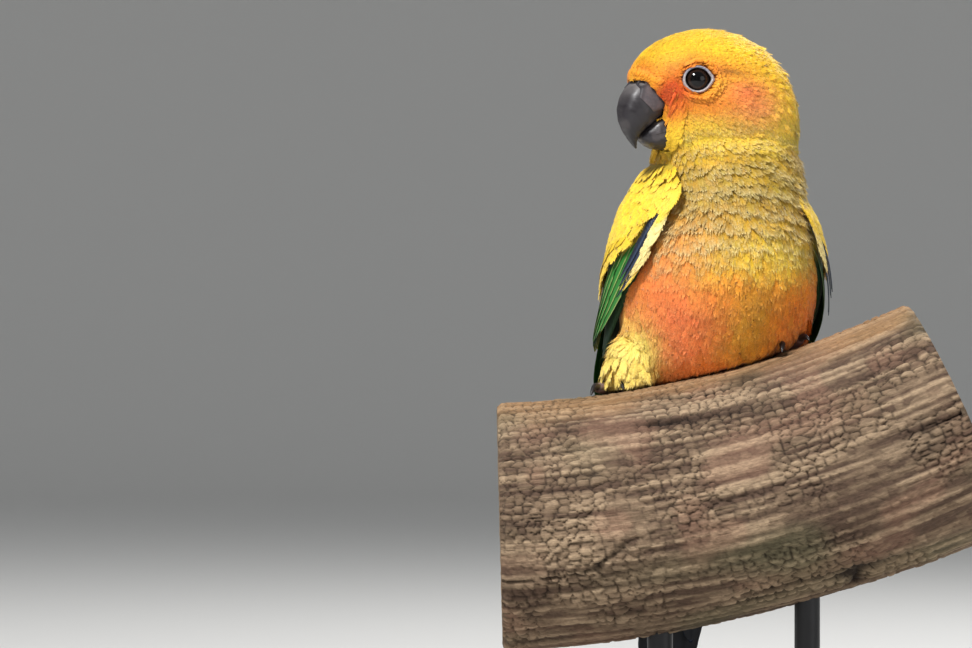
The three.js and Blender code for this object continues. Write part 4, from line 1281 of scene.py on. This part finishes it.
# Rings of an eyelid, from its foot to its inner edge: place from 0 to 1, radius, and height over the seat.
LID_ROWS = ((0, 6.4, -3.6), (0.14, 5.7, -2.3), (0.28, 5.05, -1.15), (0.42, 4.75, -0.4), (0.58, 4.5, 0.12),
            (0.74, 4.15, 0.32), (0.88, 3.86, 0.1), (0.95, 3.74, -0.25), (1, 3.68, -0.95))


def lid_folds(turn, v):
    """Waves round an eyelid, from -1 in its folds to 1 between them."""
    return np.sin(v * 30 + np.sin(turn * 3))


def eyes():
    """Glossy dark eyes in rings of creased bare skin."""
    for name, side in (("left", 1), ("right", -1)):
        centre, out, forward, upward = eye_axes(side)

        def ball(u, v):
            turn, tilt = u * TURN, v * math.pi
            swell = EYE_RADIUS + 0.12 * smoothstep(tilt, 0.55, 0.1)
            ring = forward * np.cos(turn)[:, None] + upward * np.sin(turn)[:, None]
            ball_out = out * np.cos(tilt)[:, None] + ring * np.sin(tilt)[:, None]
            return from_head(centre + ball_out * swell[:, None])

        mesh, u, v = mapped_sheet("eyeball", 64, 48, ball)
        tilt = v * 180
        iris = shade(paint(38, 23, 15), paint(18, 11, 8), smoothstep(tilt, 34, 42))
        iris = iris * (1 + 0.25 * np.sin(u * TURN * 40) * smoothstep(tilt, 24, 36))[:, None]
        tint(mesh, shade(iris, paint(5, 4, 5), smoothstep(tilt, 29, 26)))
        sheet_piece(f"eyeball_{name}", mesh, u, v, EYE, "eye", f"eye_{name}")

        def lid(u, v):
            turn = u * TURN
            radius, height = smooth_rows(LID_ROWS, v)
            behind = np.exp(-((np.abs(turn - math.pi) / 0.3) ** 2))
            inner = smoothstep(v, 0.35, 0.9)
            radius = radius + behind * (0.75 - 0.25 * inner) - 0.1 * inner * np.sin(turn) ** 2
            creases = 0.06 * np.sin(turn * 22 + 2.5 * np.sin(v * 7)) + 0.07 * lid_folds(turn, v)
            lump = creases * smoothstep(v, 0, 0.2) * smoothstep(v, 1, 0.85)
            high = LID_SEAT + height + lump + 0.15 * np.sin(turn) * inner - 0.5 * behind
            ring = forward * np.cos(turn)[:, None] + upward * (lerp(0.9, 0.95, inner) * np.sin(turn))[:, None]
            return from_head(centre + ring * radius[:, None] + out * high[:, None])

        mesh, u, v = mapped_sheet("eyelid", 160, 40, lid)
        turn = u * TURN
        shadow = smoothstep(np.sin(turn), 0.1, 0.8) * smoothstep(v, 0.4, 0.75)
        colour = shade(paint(196, 188, 188), paint(132, 142, 164), 0.8 * shadow)
        # Darker in the folds of the lid: painted shade in its creases.
        colour = shade(colour, paint(120, 108, 108), 0.5 * smoothstep(lid_folds(turn, v), 0.2, -1))
        colour = shade(colour, paint(60, 48, 48), smoothstep(v, 0.82, 0.95))
        skin_around = head_colour(to_head(coordinates(mesh))) * 0.9
        tint(mesh, lerp(skin_around, colour, smoothstep(v, 0.36, 0.44)[:, None]))
        sheet_piece(f"eyelid_skin_{name}", mesh, u, v, LID_SKIN, "bare_skin", f"eyelid_{name}")


# The branch: a bent log of bare weathered wood.
BRANCH_BEND = np.array([[-65, 0, -43.6], [6.8, 0, -41.8], [78.3, 0, -8.9]])


def branch_line(t):
    """Middle (from the crest), forward and upward of the branch, for t from 0 at its low end to 1."""
    t = np.asarray(t, float)[..., None]
    a, b, c = BRANCH_BEND
    middle = a * (1 - t) ** 2 + b * 2 * t * (1 - t) + c * t * t
    forward = unit((b - a) * (1 - t) + (c - b) * t)
    upward = np.stack([-forward[..., 2], 0 * forward[..., 0], forward[..., 0]], -1)
    return middle, forward, upward


def plates(round_it, along, wide, long):
    """How far places are from the cracks between plates of bark, and a number from -0.5 to 0.5 for each."""
    columns = round(TURN * BRANCH_RADIUS / wide)
    a = round_it / (TURN * BRANCH_RADIUS) * columns
    b = along / long
    nearest = np.full(a.shape, 9.0)
    second = np.full(a.shape, 9.0)
    number = np.zeros(a.shape)
    for step_a, step_b in itertools.product((-1, 0, 1), repeat=2):
        cell_a, cell_b = np.floor(a) + step_a, np.floor(b) + step_b
        mixed = np.stack([cell_a % columns, cell_b + 50], -1).astype(np.int64) @ HASH_STEPS[:2]
        mixed = (mixed ^ (mixed >> 13)) * HASH_MIX
        first, other, third = (((mixed >> bits) & 255) / 255 for bits in (8, 16, 24))
        away = np.hypot(cell_a + first * 0.8 + 0.1 - a, cell_b + other * 0.8 + 0.1 - b)
        closer = away < nearest
        second = np.where(closer, nearest, np.minimum(second, away))
        number = np.where(closer, third - 0.5, number)
        nearest = np.minimum(nearest, away)
    return second - nearest, number


def wood_relief(turn, t):
    """How far the wood stands out, the weight of its cracks, its lightness, and places in its grain."""
    round_it = turn * BRANCH_RADIUS
    along = t * 150
    ring = circle(turn) * BRANCH_RADIUS + [0, 0, 1] * along[:, None]
    bend = 3.5 * rough(ring, (26, 26, 40), 61)
    fibre = rough(ring + bend[:, None] * [0.3, 0.3, 0], (1.3, 1.3, 26), 62)
    coarse = rough(ring, (4, 4, 48), 63)
    split = np.abs(rough(ring + 0.5 * bend[:, None], (6.5, 6.5, 70), 64))
    deep = smoothstep(split, 0.075, 0.0) * smoothstep(rough(ring, (16, 16, 30), 65), -0.15, 0.35)
    warp = np.stack([rough(ring, 7, 66), rough(ring, 7, 60)], -1) * [1.6, 2.2]
    gap, number = plates(round_it + warp[:, 0], along + warp[:, 1], 2.2, 3.5)
    patchy = 0.25 + 0.75 * smoothstep(rough(ring, (13, 13, 20), 67), -0.3, 0.25)
    blocks = smoothstep(gap, 0.2, 0.02) * patchy
    knot = blob(np.stack([round_it, along], -1), (118, 62), (9, 13))
    relief = 0.3 * fibre + 0.5 * coarse - 1.6 * deep + 1.2 * knot - 0.4
    relief = relief + patchy * (0.95 * smoothstep(gap, 0, 0.35) + 0.7 * number - 0.85)
    return relief, np.clip(deep + 0.8 * blocks, 0, 1), fibre + 0.5 * number, ring


def wood_finish():
    """Old bare wood: the painted colours with fine fibres along the grain."""
    made = Finish("weathered wood", 0.82, 0.25)
    grain = made.attribute("grain", "Vector")
    fibres = made.noise(made.scaled(grain, 1, 1, 0.2), 1.7, 5, 0.65)
    specks = made.noise(grain, 1.1, 3)
    made.painted(made.ramp(fibres, 0.3, 0.7, 0.68, 1.22), made.ramp(specks, 0.3, 0.7, 0.88, 1.1))
    made.bump(fibres, 0.5, 1.0)
    return made.material


WOOD = wood_finish()


def log_radius(turn, t):
    """Radius of the log without its relief."""
    lumps = 0.022 * np.sin(2 * turn + 0.9 + 2.2 * t) + 0.016 * np.sin(3 * turn - 5 * t)
    return BRANCH_RADIUS * (1 + lumps * (1 - smoothstep(np.sin(turn), 0, 0.75)))


def in_log(t, flat, ahead=0):
    """Places along the log: flat says how far across and up from its middle, and ahead how far further on."""
    middle, forward, upward = branch_line(t)
    ahead = np.broadcast_to(ahead, len(flat))
    return CREST + middle + forward * ahead[:, None] + upward * flat[:, 1:2] + [0, 1, 0] * flat[:, :1]


def branch():
    """The log, weathered all round."""
    def turned(u):
        """Places round the log, closer together at its front and top."""
        turn = u * TURN
        return turn - 0.42 * np.sin(turn - 0.75 * math.pi)

    def place(u, v):
        turn = turned(u)
        calm = 1 - 0.4 * smoothstep(np.sin(turn), 0.8, 0.97)
        worn = smoothstep(np.minimum(v, 1 - v), 0.012, 0)
        radius = log_radius(turn, v) + wood_relief(turn, v)[0] * calm - worn
        return in_log(v, circle(turn) * radius[:, None])

    mesh, u, v = mapped_sheet("log", 410, 240, place)
    turn = turned(u)
    _, crack, fibre, ring = wood_relief(turn, v)
    top = smoothstep(np.sin(turn) + 0.1 * rough(ring, 14, 68), 0.82, 0.98)
    colour = shade(paint(134, 112, 90), paint(96, 76, 62), smoothstep(fibre, 0.1, -0.5))
    # Paler where the fibres and plates stand out: partly weathered wood, partly a painted highlight on the
    # raised bark.
    colour = shade(colour, paint(186, 160, 130), 0.75 * smoothstep(fibre, 0.05, 0.6))
    colour = shade(colour, paint(168, 126, 104), 0.28 * smoothstep(rough(ring, (9, 9, 12), 74), 0.05, 0.6))
    colour = shade(colour, paint(176, 136, 92), 0.6 * top)
    colour = shade(colour, paint(104, 108, 78), 0.45 * smoothstep(rough(ring, (18, 18, 30), 69), 0.1, 0.7))
    colour = shade(colour, paint(74, 58, 46), 0.5 * smoothstep(rough(ring, (22, 22, 34), 70), 0.15, 0.8))
    # Dark in the cracks and between the plates: the cracks' own dark, partly painted shade in them.
    colour = shade(colour, paint(30, 22, 18), 0.95 * crack)
    tint(mesh, colour)
    mark(mesh, "grain", ring)
    bake_map(mesh, np.stack([u, v], -1) * [0.98, 0.78] + 0.01)
    piece("weathered_log", mesh, WOOD, "branch", "perch_branch")


def drying_cracks(flat, end):
    """Weight of the cracks that run out from the pith."""
    reach = np.hypot(flat[:, 0], flat[:, 1])
    swirl = np.arctan2(flat[:, 1], flat[:, 0]) + 0.12 * rough(flat, 9, 72)
    gap = np.abs(np.sin(swirl * 3.5 + end)) * reach
    return smoothstep(gap, 1.4, 0.2) * smoothstep(reach, 30, 8) * smoothstep(reach, 0, 3)


def sawn_end(name, end, spot):
    """A sawn end of the log: end is 0 or 1, and spot its place on the branch's map."""
    def sawn(u, v):
        turn = u * TURN
        flat = circle(turn) * ((log_radius(turn, end) - 1.2) * v)[:, None]
        marks = 0.12 * rough(flat, (30, 0.9, 1), 71) - 0.9 * drying_cracks(flat, end)
        sunk = (2 * end - 1) * (marks + 0.1 - 1.6 * smoothstep(v, 0.97, 1))
        return in_log(np.full_like(u, end), flat, sunk)

    mesh, u, v = mapped_sheet(name, 160, 80, sawn)
    flat = circle(u * TURN) * (v * BRANCH_RADIUS)[:, None]
    spaced = v * BRANCH_RADIUS * (2.6 + 0.5 * np.sin(v * 7))
    rings = np.sin(spaced + 2.2 * rough(flat, 12, 73) + 0.8 * rough(flat, 3, 75))
    colour = shade(paint(156, 130, 100), paint(122, 97, 72), 0.7 * smoothstep(rings, 0, 0.9))
    colour = shade(colour, paint(132, 116, 96), 0.6 * smoothstep(rough(flat, 16, 76), -0.2, 0.5))
    colour = shade(colour, paint(98, 84, 70), 0.8 * smoothstep(v, 0.9, 1))
    # Dark in the drying cracks: the cracks' own dark, partly painted shade in them.
    colour = shade(colour, paint(36, 27, 21), 0.9 * drying_cracks(flat, end))
    tint(mesh, colour)
    mark(mesh, "grain", flat + [0, 0, 40])
    bake_map(mesh, np.stack([spot + flat[:, 0] / 400, 0.89 + flat[:, 1] / 400], -1))
    piece(name, mesh, WOOD, "branch")


# Feet and claws, from the perch's crest.
FEET = (("right", -29, 13, -8), ("left", 23.5, 14, 12))
TOES = ((16, 12.5, 1.75), (-14, 15.5, 1.9), (162, 8.5, 1.6), (-160, 13, 1.8))
TOE_SWELL = ((0, 1.1), (0.25, 0.95), (0.5, 1.1), (0.75, 0.92), (1, 0.66))
CLAW_LENGTH = 6.2
CLAW_RADIUS = 1.15
CLAW_TIP = 0.7
CLAW_TAPER = ((0, 1), (0.25, 0.94), (0.5, 0.76), (0.75, 0.48), (0.94, 0.17), (1, 0.02))
SHANK_SWELL = ((0, 2.2), (0.35, 1.95), (0.7, 2.05), (1, 2.5))
SHANK_LENGTH = 11
KNEE = (-24, 5, 9)  # the middle of the right thigh, from the crest
KNEE_RADIUS = 8.2


def wood_top(x, y):
    """Height of the wood over places in the perch's frame."""
    steps = np.linspace(0, 1, 400)
    middle, _, upward = branch_line(steps)
    t = np.interp(x, (middle + upward * BRANCH_RADIUS)[:, 0], steps)
    middle, forward, _ = branch_line(t)
    high = np.sqrt(BRANCH_RADIUS ** 2 - np.asarray(y, float) ** 2)
    slope = forward[..., 2] / forward[..., 0]
    return middle[..., 2] + high * forward[..., 0] + (x - middle[..., 0] + high * forward[..., 2]) * slope


def round_body(name, path, around, along, surface):
    """A tube along a path of points from the crest; surface gives its radius from u and v."""
    rows = np.column_stack([np.linspace(0, 1, len(path)), path])

    def place(u, v):
        middle = np.stack(smooth_rows(rows, v), -1)
        ahead = np.stack(smooth_rows(rows, np.minimum(v + 0.01, 1)), -1)
        behind = np.stack(smooth_rows(rows, np.maximum(v - 0.01, 0)), -1)
        forward = unit(ahead - behind)
        upward = unit(np.cross(forward, [1.0, 0, 0]))
        upward = upward * np.sign(upward[:, 2:3] + 1e-6)
        turn = u * TURN
        ring = np.cross(upward, forward) * np.cos(turn)[:, None] + upward * np.sin(turn)[:, None]
        return CREST + middle + ring * surface(turn, v)[:, None]
    return mapped_sheet(name, around, along, place, close=True)


def scutes(turn, along, length, pitch):
    """Overlapping scales on a toe or shank: their height, and how pale each place on them is."""
    phase = (along * length / pitch + 0.12 * np.sin(turn * 2)) % 1
    plate = phase ** 0.5 * smoothstep(phase, 1, 0.86)
    top = smoothstep(np.sin(turn), -0.1, 0.5)
    pebbles = 0.05 * (1 - top) * np.sin(turn * 14) * np.sin(along * length * 5)
    return 0.24 * plate * top - 0.1 * top + pebbles, plate * top


def on_wood(foot, ahead, reach, rise):
    """Places ahead of a foot's middle, by their heights over the wood."""
    x, y = (foot[k] + ahead[k] * reach for k in (0, 1))
    return np.column_stack([x, y, wood_top(x, y) + rise])


def toe(name, number, foot, ahead, length, radius):
    path = on_wood(foot, ahead, np.linspace(-0.06, 1, 7) * length, radius * 1.02)
    path[0, 2] += 0.8

    def surface(turn, v):
        share, = smooth_rows(TOE_SWELL, v)
        closing = np.sqrt(np.clip(1 - smoothstep(v, 0.9, 1) ** 2 * 0.6, 0, 1))
        return radius * share * closing + scutes(turn, v, length, 1.25)[0]
    mesh, u, v = round_body("toe", path, 44, 96, surface)
    nodes = (f"foot_{name}",) if number == 1 else ()
    scaled_piece(f"toe_{name}_{number}", mesh, u, v, length, *nodes)


def claw(name, number, foot, ahead, length, radius):
    size = 0.75 + length / 62
    seat = radius * 1.1 + 0.2
    reach = length - 1.0 + CLAW_LENGTH * size * np.array([0, 0.36, 0.74, 1])
    path = on_wood(foot, ahead, reach, np.array([seat, seat + 0.45, seat - 0.3, CLAW_TIP - 0.1]))

    def surface(turn, v):
        share, = smooth_rows(CLAW_TAPER, v)
        return CLAW_RADIUS * size * share * (1 + 0.06 * np.sin(turn) ** 2) + 0.015 * np.sin(v * 50)
    mesh, u, v = round_body("claw", path, 32, 56, surface)
    tint(mesh, shade(paint(66, 56, 54), paint(22, 19, 20), smoothstep(v, 0.15, 0.6)))
    sheet_piece(f"claw_horn_{name}_{number}", mesh, u, v, HORN, "horn", f"claw_{name}_{number}")


def shank(name, x, y):
    """The scaled leg over a foot, leaning in under its thigh."""
    lean = -np.sign(x)
    bend = np.array([[3 * lean, -6.5, 12], [1.6 * lean, -3.4, 8.6], [0.4 * lean, -1, 5], [0, 0, 1.9]])

    def surface(turn, v):
        share, = smooth_rows(SHANK_SWELL, v)
        lift = scutes(turn + math.pi / 2, v, SHANK_LENGTH, 1.3)[0]
        return share * (1 - 0.5 * smoothstep(v, 0.93, 1)) + lift
    mesh, u, v = round_body("shank", bend + [x, y, float(wood_top(x, y))], 44, 70, surface)
    scaled_piece(f"shank_{name}", mesh, u, v, SHANK_LENGTH)


def feet():
    for name, x, y, turned in FEET:
        for number, (heading, length, radius) in enumerate(TOES, 1):
            ahead = spun([0, -1, 0], heading + turned)
            toe(name, number, (x, y), ahead, length, radius)
            claw(name, number, (x, y), ahead, length, radius)
        shank(name, x, y)


def scaled_piece(name, mesh, u, v, length, *nodes):
    """A toe or shank, paler on its scales."""
    plate = scutes(u * TURN, v, length, 1.25)[1]
    colour = shade(paint(104, 82, 80), paint(160, 134, 128), 0.8 * plate)
    colour = shade(colour, paint(150, 112, 106), 0.5 * smoothstep(np.sin(u * TURN), -0.2, -0.9))
    tint(mesh, colour)
    sheet_piece(name, mesh, u, v, SCALES, "scaled_skin", *nodes)


def thigh_tufts():
    """Loose feathers that hang from the lower half of the right thigh, down to the toes."""
    count = 300
    turn = chance.uniform(0, TURN, count)
    drop = chance.uniform(-0.9, 0.2, count)
    level = circle(turn)
    out = level * np.sqrt(1 - drop ** 2)[:, None] + [0, 0, 1] * drop[:, None]
    root = np.array(KNEE) + out * (KNEE_RADIUS - 1.4)
    lie = unit(level * chance.uniform(0.1, 0.5, (count, 1)) - [0, 0, 1] + chance.normal(0, 0.12, (count, 3)))
    reach = chance.uniform(4.5, 8, count)
    tip = root + lie * reach[:, None]
    clear = root[:, 2] - wood_top(tip[:, 0], tip[:, 1]) - 0.7
    keep = clear > 1.5
    root, lie, out, level = root[keep], lie[keep], out[keep], level[keep]
    length = np.minimum(reach[keep], clear[keep] / -lie[:, 2])
    middle = root + lie * (length * 0.5)[:, None] + out * 0.9
    spines = np.stack([root, middle, root + lie * length[:, None]], 1) + CREST
    sideways = unit(np.cross(level + 0.3 * out, lie))
    colours = markings_and_painted_light(spines[:, 0]) * chance.normal(1, 0.05, (len(spines), 1))
    feathers("thigh_tufts", "plumage_breast", spines, unit(np.cross(lie, sideways)), length * 0.2, colours,
             0.45, 12, hairs=18, lies=lie)


# The stand.
BASE_WIDTH, BASE_DEPTH, BASE_CORNER, BASE_BEVEL = 150, 130, 14, 1.2
ROD_RADIUS = 4
ROD_SPREAD = 46


def lacquered_metal():
    """Dark metal, a little worn."""
    made = Finish("dark lacquered metal", 0.38)
    wear = made.noise(made.places(), 90, 4)
    made.colour(made.mixed(wear, (0.018, 0.018, 0.02, 1), (0.03, 0.03, 0.032, 1)))
    made.give(made.ramp(wear, 0.3, 0.7, 0.3, 0.46), made.shader.inputs["Roughness"])
    made.set(Metallic=0.5)
    made.bump(made.noise(made.places(), 1400, 2), 0.02, 0.4)
    return made.material


def stand():
    """The base plate, with rounded corners and a fine bevel, and the two rods."""
    metal = lacquered_metal()
    shape = bmesh.new()
    bmesh.ops.create_cube(shape, size=1)
    for vertex in shape.verts:
        x, y, z = vertex.co
        vertex.co = (x * BASE_WIDTH * MM, y * BASE_DEPTH * MM, (z + 0.5) * BASE_THICK * MM)
    for upright, offset, segments in ((True, BASE_CORNER, 12), (False, BASE_BEVEL, 4)):
        heights = [(edge, abs(edge.verts[0].co.z - edge.verts[1].co.z)) for edge in shape.edges]
        edges = [edge for edge, height in heights if (height > MM if upright else height < MM / 10)]
        bmesh.ops.bevel(shape, geom=edges, offset=offset * MM, segments=segments, profile=0.5, affect="EDGES",
                        material=-1)
    bmesh.ops.recalc_face_normals(shape, faces=shape.faces)
    mesh = finished(shape, "base")
    at = coordinates(mesh)
    bake_map(mesh, np.stack([at[:, 0] / 340 + 0.5, at[:, 1] / 340 + 0.5 + at[:, 2] / 340], -1))
    piece("stand_base_plate", mesh, metal, "stand", "stand_base")
    for number, x in enumerate((-ROD_SPREAD / 2, ROD_SPREAD / 2), 1):
        def rod(u, v):
            radius = ROD_RADIUS + 1.6 * smoothstep(v, 0.02, 0) ** 2
            level = lerp(BASE_THICK, CREST[2] - 30, v)
            return circle(u * TURN) * radius[:, None] + np.stack([x + 0 * v, CREST[1] + 0 * v, level], -1)
        mesh, u, v = mapped_sheet("rod", 48, 60, rod, close=True)
        sheet_piece(f"stand_rod_round_{number}", mesh, u, v, metal, "stand", f"stand_rod_{number}")


# Fringes of tiny feathers round the bare skin.
def off_bill(rows, turn, along, rise):
    """Places a little over a bill, and the directions out of it."""
    place = bill_ring(rows, turn, along, np.full(len(turn), rise))
    return place, unit(place - bill_ring(rows, turn, along, np.full(len(turn), -2.0)))


def laid(lies, normals):
    """Unit vectors along a surface, from vectors near it."""
    lies = unit(lies)
    return unit(lies - normals * (lies * normals).sum(-1, keepdims=True))


def fringe(name, roots, lies, reach, solids, outs, rises=(-0.4, 0.04, 0.12)):
    """Tiny feathers that hide an edge of bare skin, laid on solids as seen from outside, along outs."""
    spots = np.stack([roots + lies * (reach * part)[:, None] for part in (0, 0.5, 1)], 1)
    keep = np.ones(len(roots), bool)
    facing = np.zeros_like(roots)
    spines = np.zeros_like(spots)
    for i in range(len(roots)):
        towards = Vector(-spun(outs[i], HEAD_YAW))
        for step, rise in enumerate(rises):
            start = from_head(spots[i, step] + outs[i] * 9)
            near, normal, _, _ = solids.ray_cast(Vector(start * MM), towards, 18 * MM)
            if near is None:
                keep[i] = False
                break
            spines[i, step] = np.array(near) / MM - np.array(towards) * rise
            facing[i] += np.array(normal) * np.sign(-np.dot(normal, towards))
    spines, facing, reach = spines[keep], unit(facing[keep]), reach[keep]
    chosen = spread(spines[:, 0], np.full(len(spines), 0.42))
    spines, facing, reach = spines[chosen], facing[chosen], reach[chosen]
    colours = head_colour(to_head(spines[:, 1])) * chance.normal(1, 0.06, (len(spines), 1))
    feathers(name, "plumage_head", spines, facing, reach * 0.25, colours, 0.1, 6)


def face_fringes():
    """The edges of the plumage round the eyes and along the cere."""
    around_eyes = tree_of("head", "eyelid_left", "eyelid_right", "cere")
    for name, side in (("left", 1), ("right", -1)):
        centre, out, forward, upward = eye_axes(side)
        count = 2600
        turn = chance.uniform(0, TURN, count)
        away = chance.uniform(4.9, 6.9, count)
        flat = np.stack([np.cos(turn), 0.9 * np.sin(turn)], -1) * away[:, None]
        lie = unit(np.array([-1.0, -0.15]) + 0.45 * unit(flat) + chance.normal(0, 0.12, (count, 2)))
        reach = chance.uniform(1.7, 2.6, count)
        clear = np.ones(count, bool)
        for part in (0, 0.5, 1):
            spot = flat + lie * (reach * part)[:, None]
            behind = np.exp(-((np.arctan2(spot[:, 1], -spot[:, 0]) / 0.3) ** 2))
            clear &= np.hypot(spot[:, 0], spot[:, 1] / 0.9) > 4.7 + 0.6 * behind
        flat, lie, reach = flat[clear], lie[clear], reach[clear]
        roots = centre + forward * flat[:, :1] + upward * flat[:, 1:] + out * 3.5
        lies = forward * lie[:, :1] + upward * lie[:, 1:]
        fringe(f"eye_fringe_{name}", roots, lies, reach, around_eyes, np.broadcast_to(out, roots.shape))
    count = 2600
    turn = chance.uniform(0.07, 0.43, count)
    along = chance.uniform(0, 0.052, count)
    base, out = off_bill(UPPER_BILL, turn, along, 0.6)
    lies = np.stack([-np.ones(count), 0.25 * np.sign(base[:, 1]), np.full(count, 0.25)], -1)
    lies = laid(lies + chance.normal(0, 0.15, (count, 3)), out)
    fringe("bill_fringe", base, lies, chance.uniform(1.5, 2.4, count), tree_of("head", "cere"), out)


def cheek_fringe():
    """Feathers that hang over the sides of the lower bill."""
    count = 2200
    turn = chance.uniform(-0.42, 0.92, count)
    along = chance.uniform(0.13, 0.25, count)
    base, out = off_bill(LOWER_BILL, turn, along, 0.8)
    lies = np.stack([np.full(count, 0.35), 0.2 * np.sign(base[:, 1]), -np.ones(count)], -1)
    lies = laid(lies + chance.normal(0, 0.2, (count, 3)), out)
    keep = out[:, 2] > -0.75
    fringe("cheek_fringe", base[keep], lies[keep], chance.uniform(1.8, 3.0, count)[keep],
           tree_of("head", "bill_lower"), out[keep], (-0.4, 0.35, 0.45))


bill()
cere()
eyes()
face_fringes()
cheek_fringe()
branch()
sawn_end("sawn_end_low", 0, 0.25)
sawn_end("sawn_end_high", 1, 0.75)
feet()
thigh_tufts()
stand()


# Stage. Metres, watts and millimetres of film.
FLOOR_REACH = 3.2
FLOOR_SHARE = 0.6  # how much of the sweep's grid is floor
BEND_SHARE = 0.2
WALL_BEND = 1.2
WALL_RISE = 10
AIM = (-0.0774, -0.014, 0.15906)
VIEW_DISTANCE = 1.6
LENS, FILM = 189.6, 36
LAMPS = (
    ("key", (-0.55, -0.95, 1.25), 0.3, 34),
    ("fill", (1.2, -1.0, 0.4), 1.0, 4),
    ("rim", (0.6, 1.0, 1.0), 0.6, 12),
)
ROOM_COLOUR = (0.9, 0.95, 1, 1)
ROOM_LIGHT = 0.27


def paper_sweep():
    """A pale floor that sweeps up all round."""
    sweep = bmesh.new()
    bmesh.ops.create_grid(sweep, x_segments=96, y_segments=48, size=1)
    for vertex in sweep.verts:
        turn = vertex.co.x * math.pi
        along = (vertex.co.y + 1) / 2
        bend = min(max((along - FLOOR_SHARE) / BEND_SHARE, 0), 1) * math.pi / 2
        reach = min(along, FLOOR_SHARE) / FLOOR_SHARE * FLOOR_REACH + WALL_BEND * math.sin(bend)
        rise = WALL_BEND * (1 - math.cos(bend)) + max(along - FLOOR_SHARE - BEND_SHARE, 0) * WALL_RISE
        vertex.co = (reach * math.sin(turn), reach * math.cos(turn), rise)
    bmesh.ops.remove_doubles(sweep, verts=sweep.verts, dist=1e-4)
    bmesh.ops.recalc_face_normals(sweep, faces=sweep.faces)
    mesh = finished(sweep, "floor")
    smooth_shaded(mesh)
    paper = Finish("paper sweep", 0.9, 0.2)
    paper.set(Base_Color=(0.72, 0.71, 0.69, 1))
    mesh.materials.append(paper.material)
    floor = placed("floor", mesh)


def studio():
    """The sweep, soft lamps, a dim room and the camera."""
    paper_sweep()
    middle = Vector(AIM)
    for name, place, size, watts in LAMPS:
        light = bpy.data.lights.new(name, "AREA")
        light.shape = "DISK"
        light.size = size
        light.energy = watts
        lamp = placed(name, light)
        lamp.location = middle + Vector(place)
        lamp.rotation_euler = (-Vector(place)).to_track_quat("-Z", "Y").to_euler()
    world = bpy.data.worlds.new("soft room")
    world.use_nodes = True
    inputs = world.node_tree.nodes["Background"].inputs
    inputs["Color"].default_value = ROOM_COLOUR
    inputs["Strength"].default_value = ROOM_LIGHT
    scene = bpy.context.scene
    scene.world = world
    scene.view_settings.view_transform = "Standard"
    lens = bpy.data.cameras.new("camera")
    lens.lens = LENS
    lens.sensor_width = FILM
    scene.camera = placed("camera", lens)
    scene.camera.location = middle - Vector((0, VIEW_DISTANCE, 0))
    scene.camera.rotation_euler = (math.pi / 2, 0, 0)


studio()
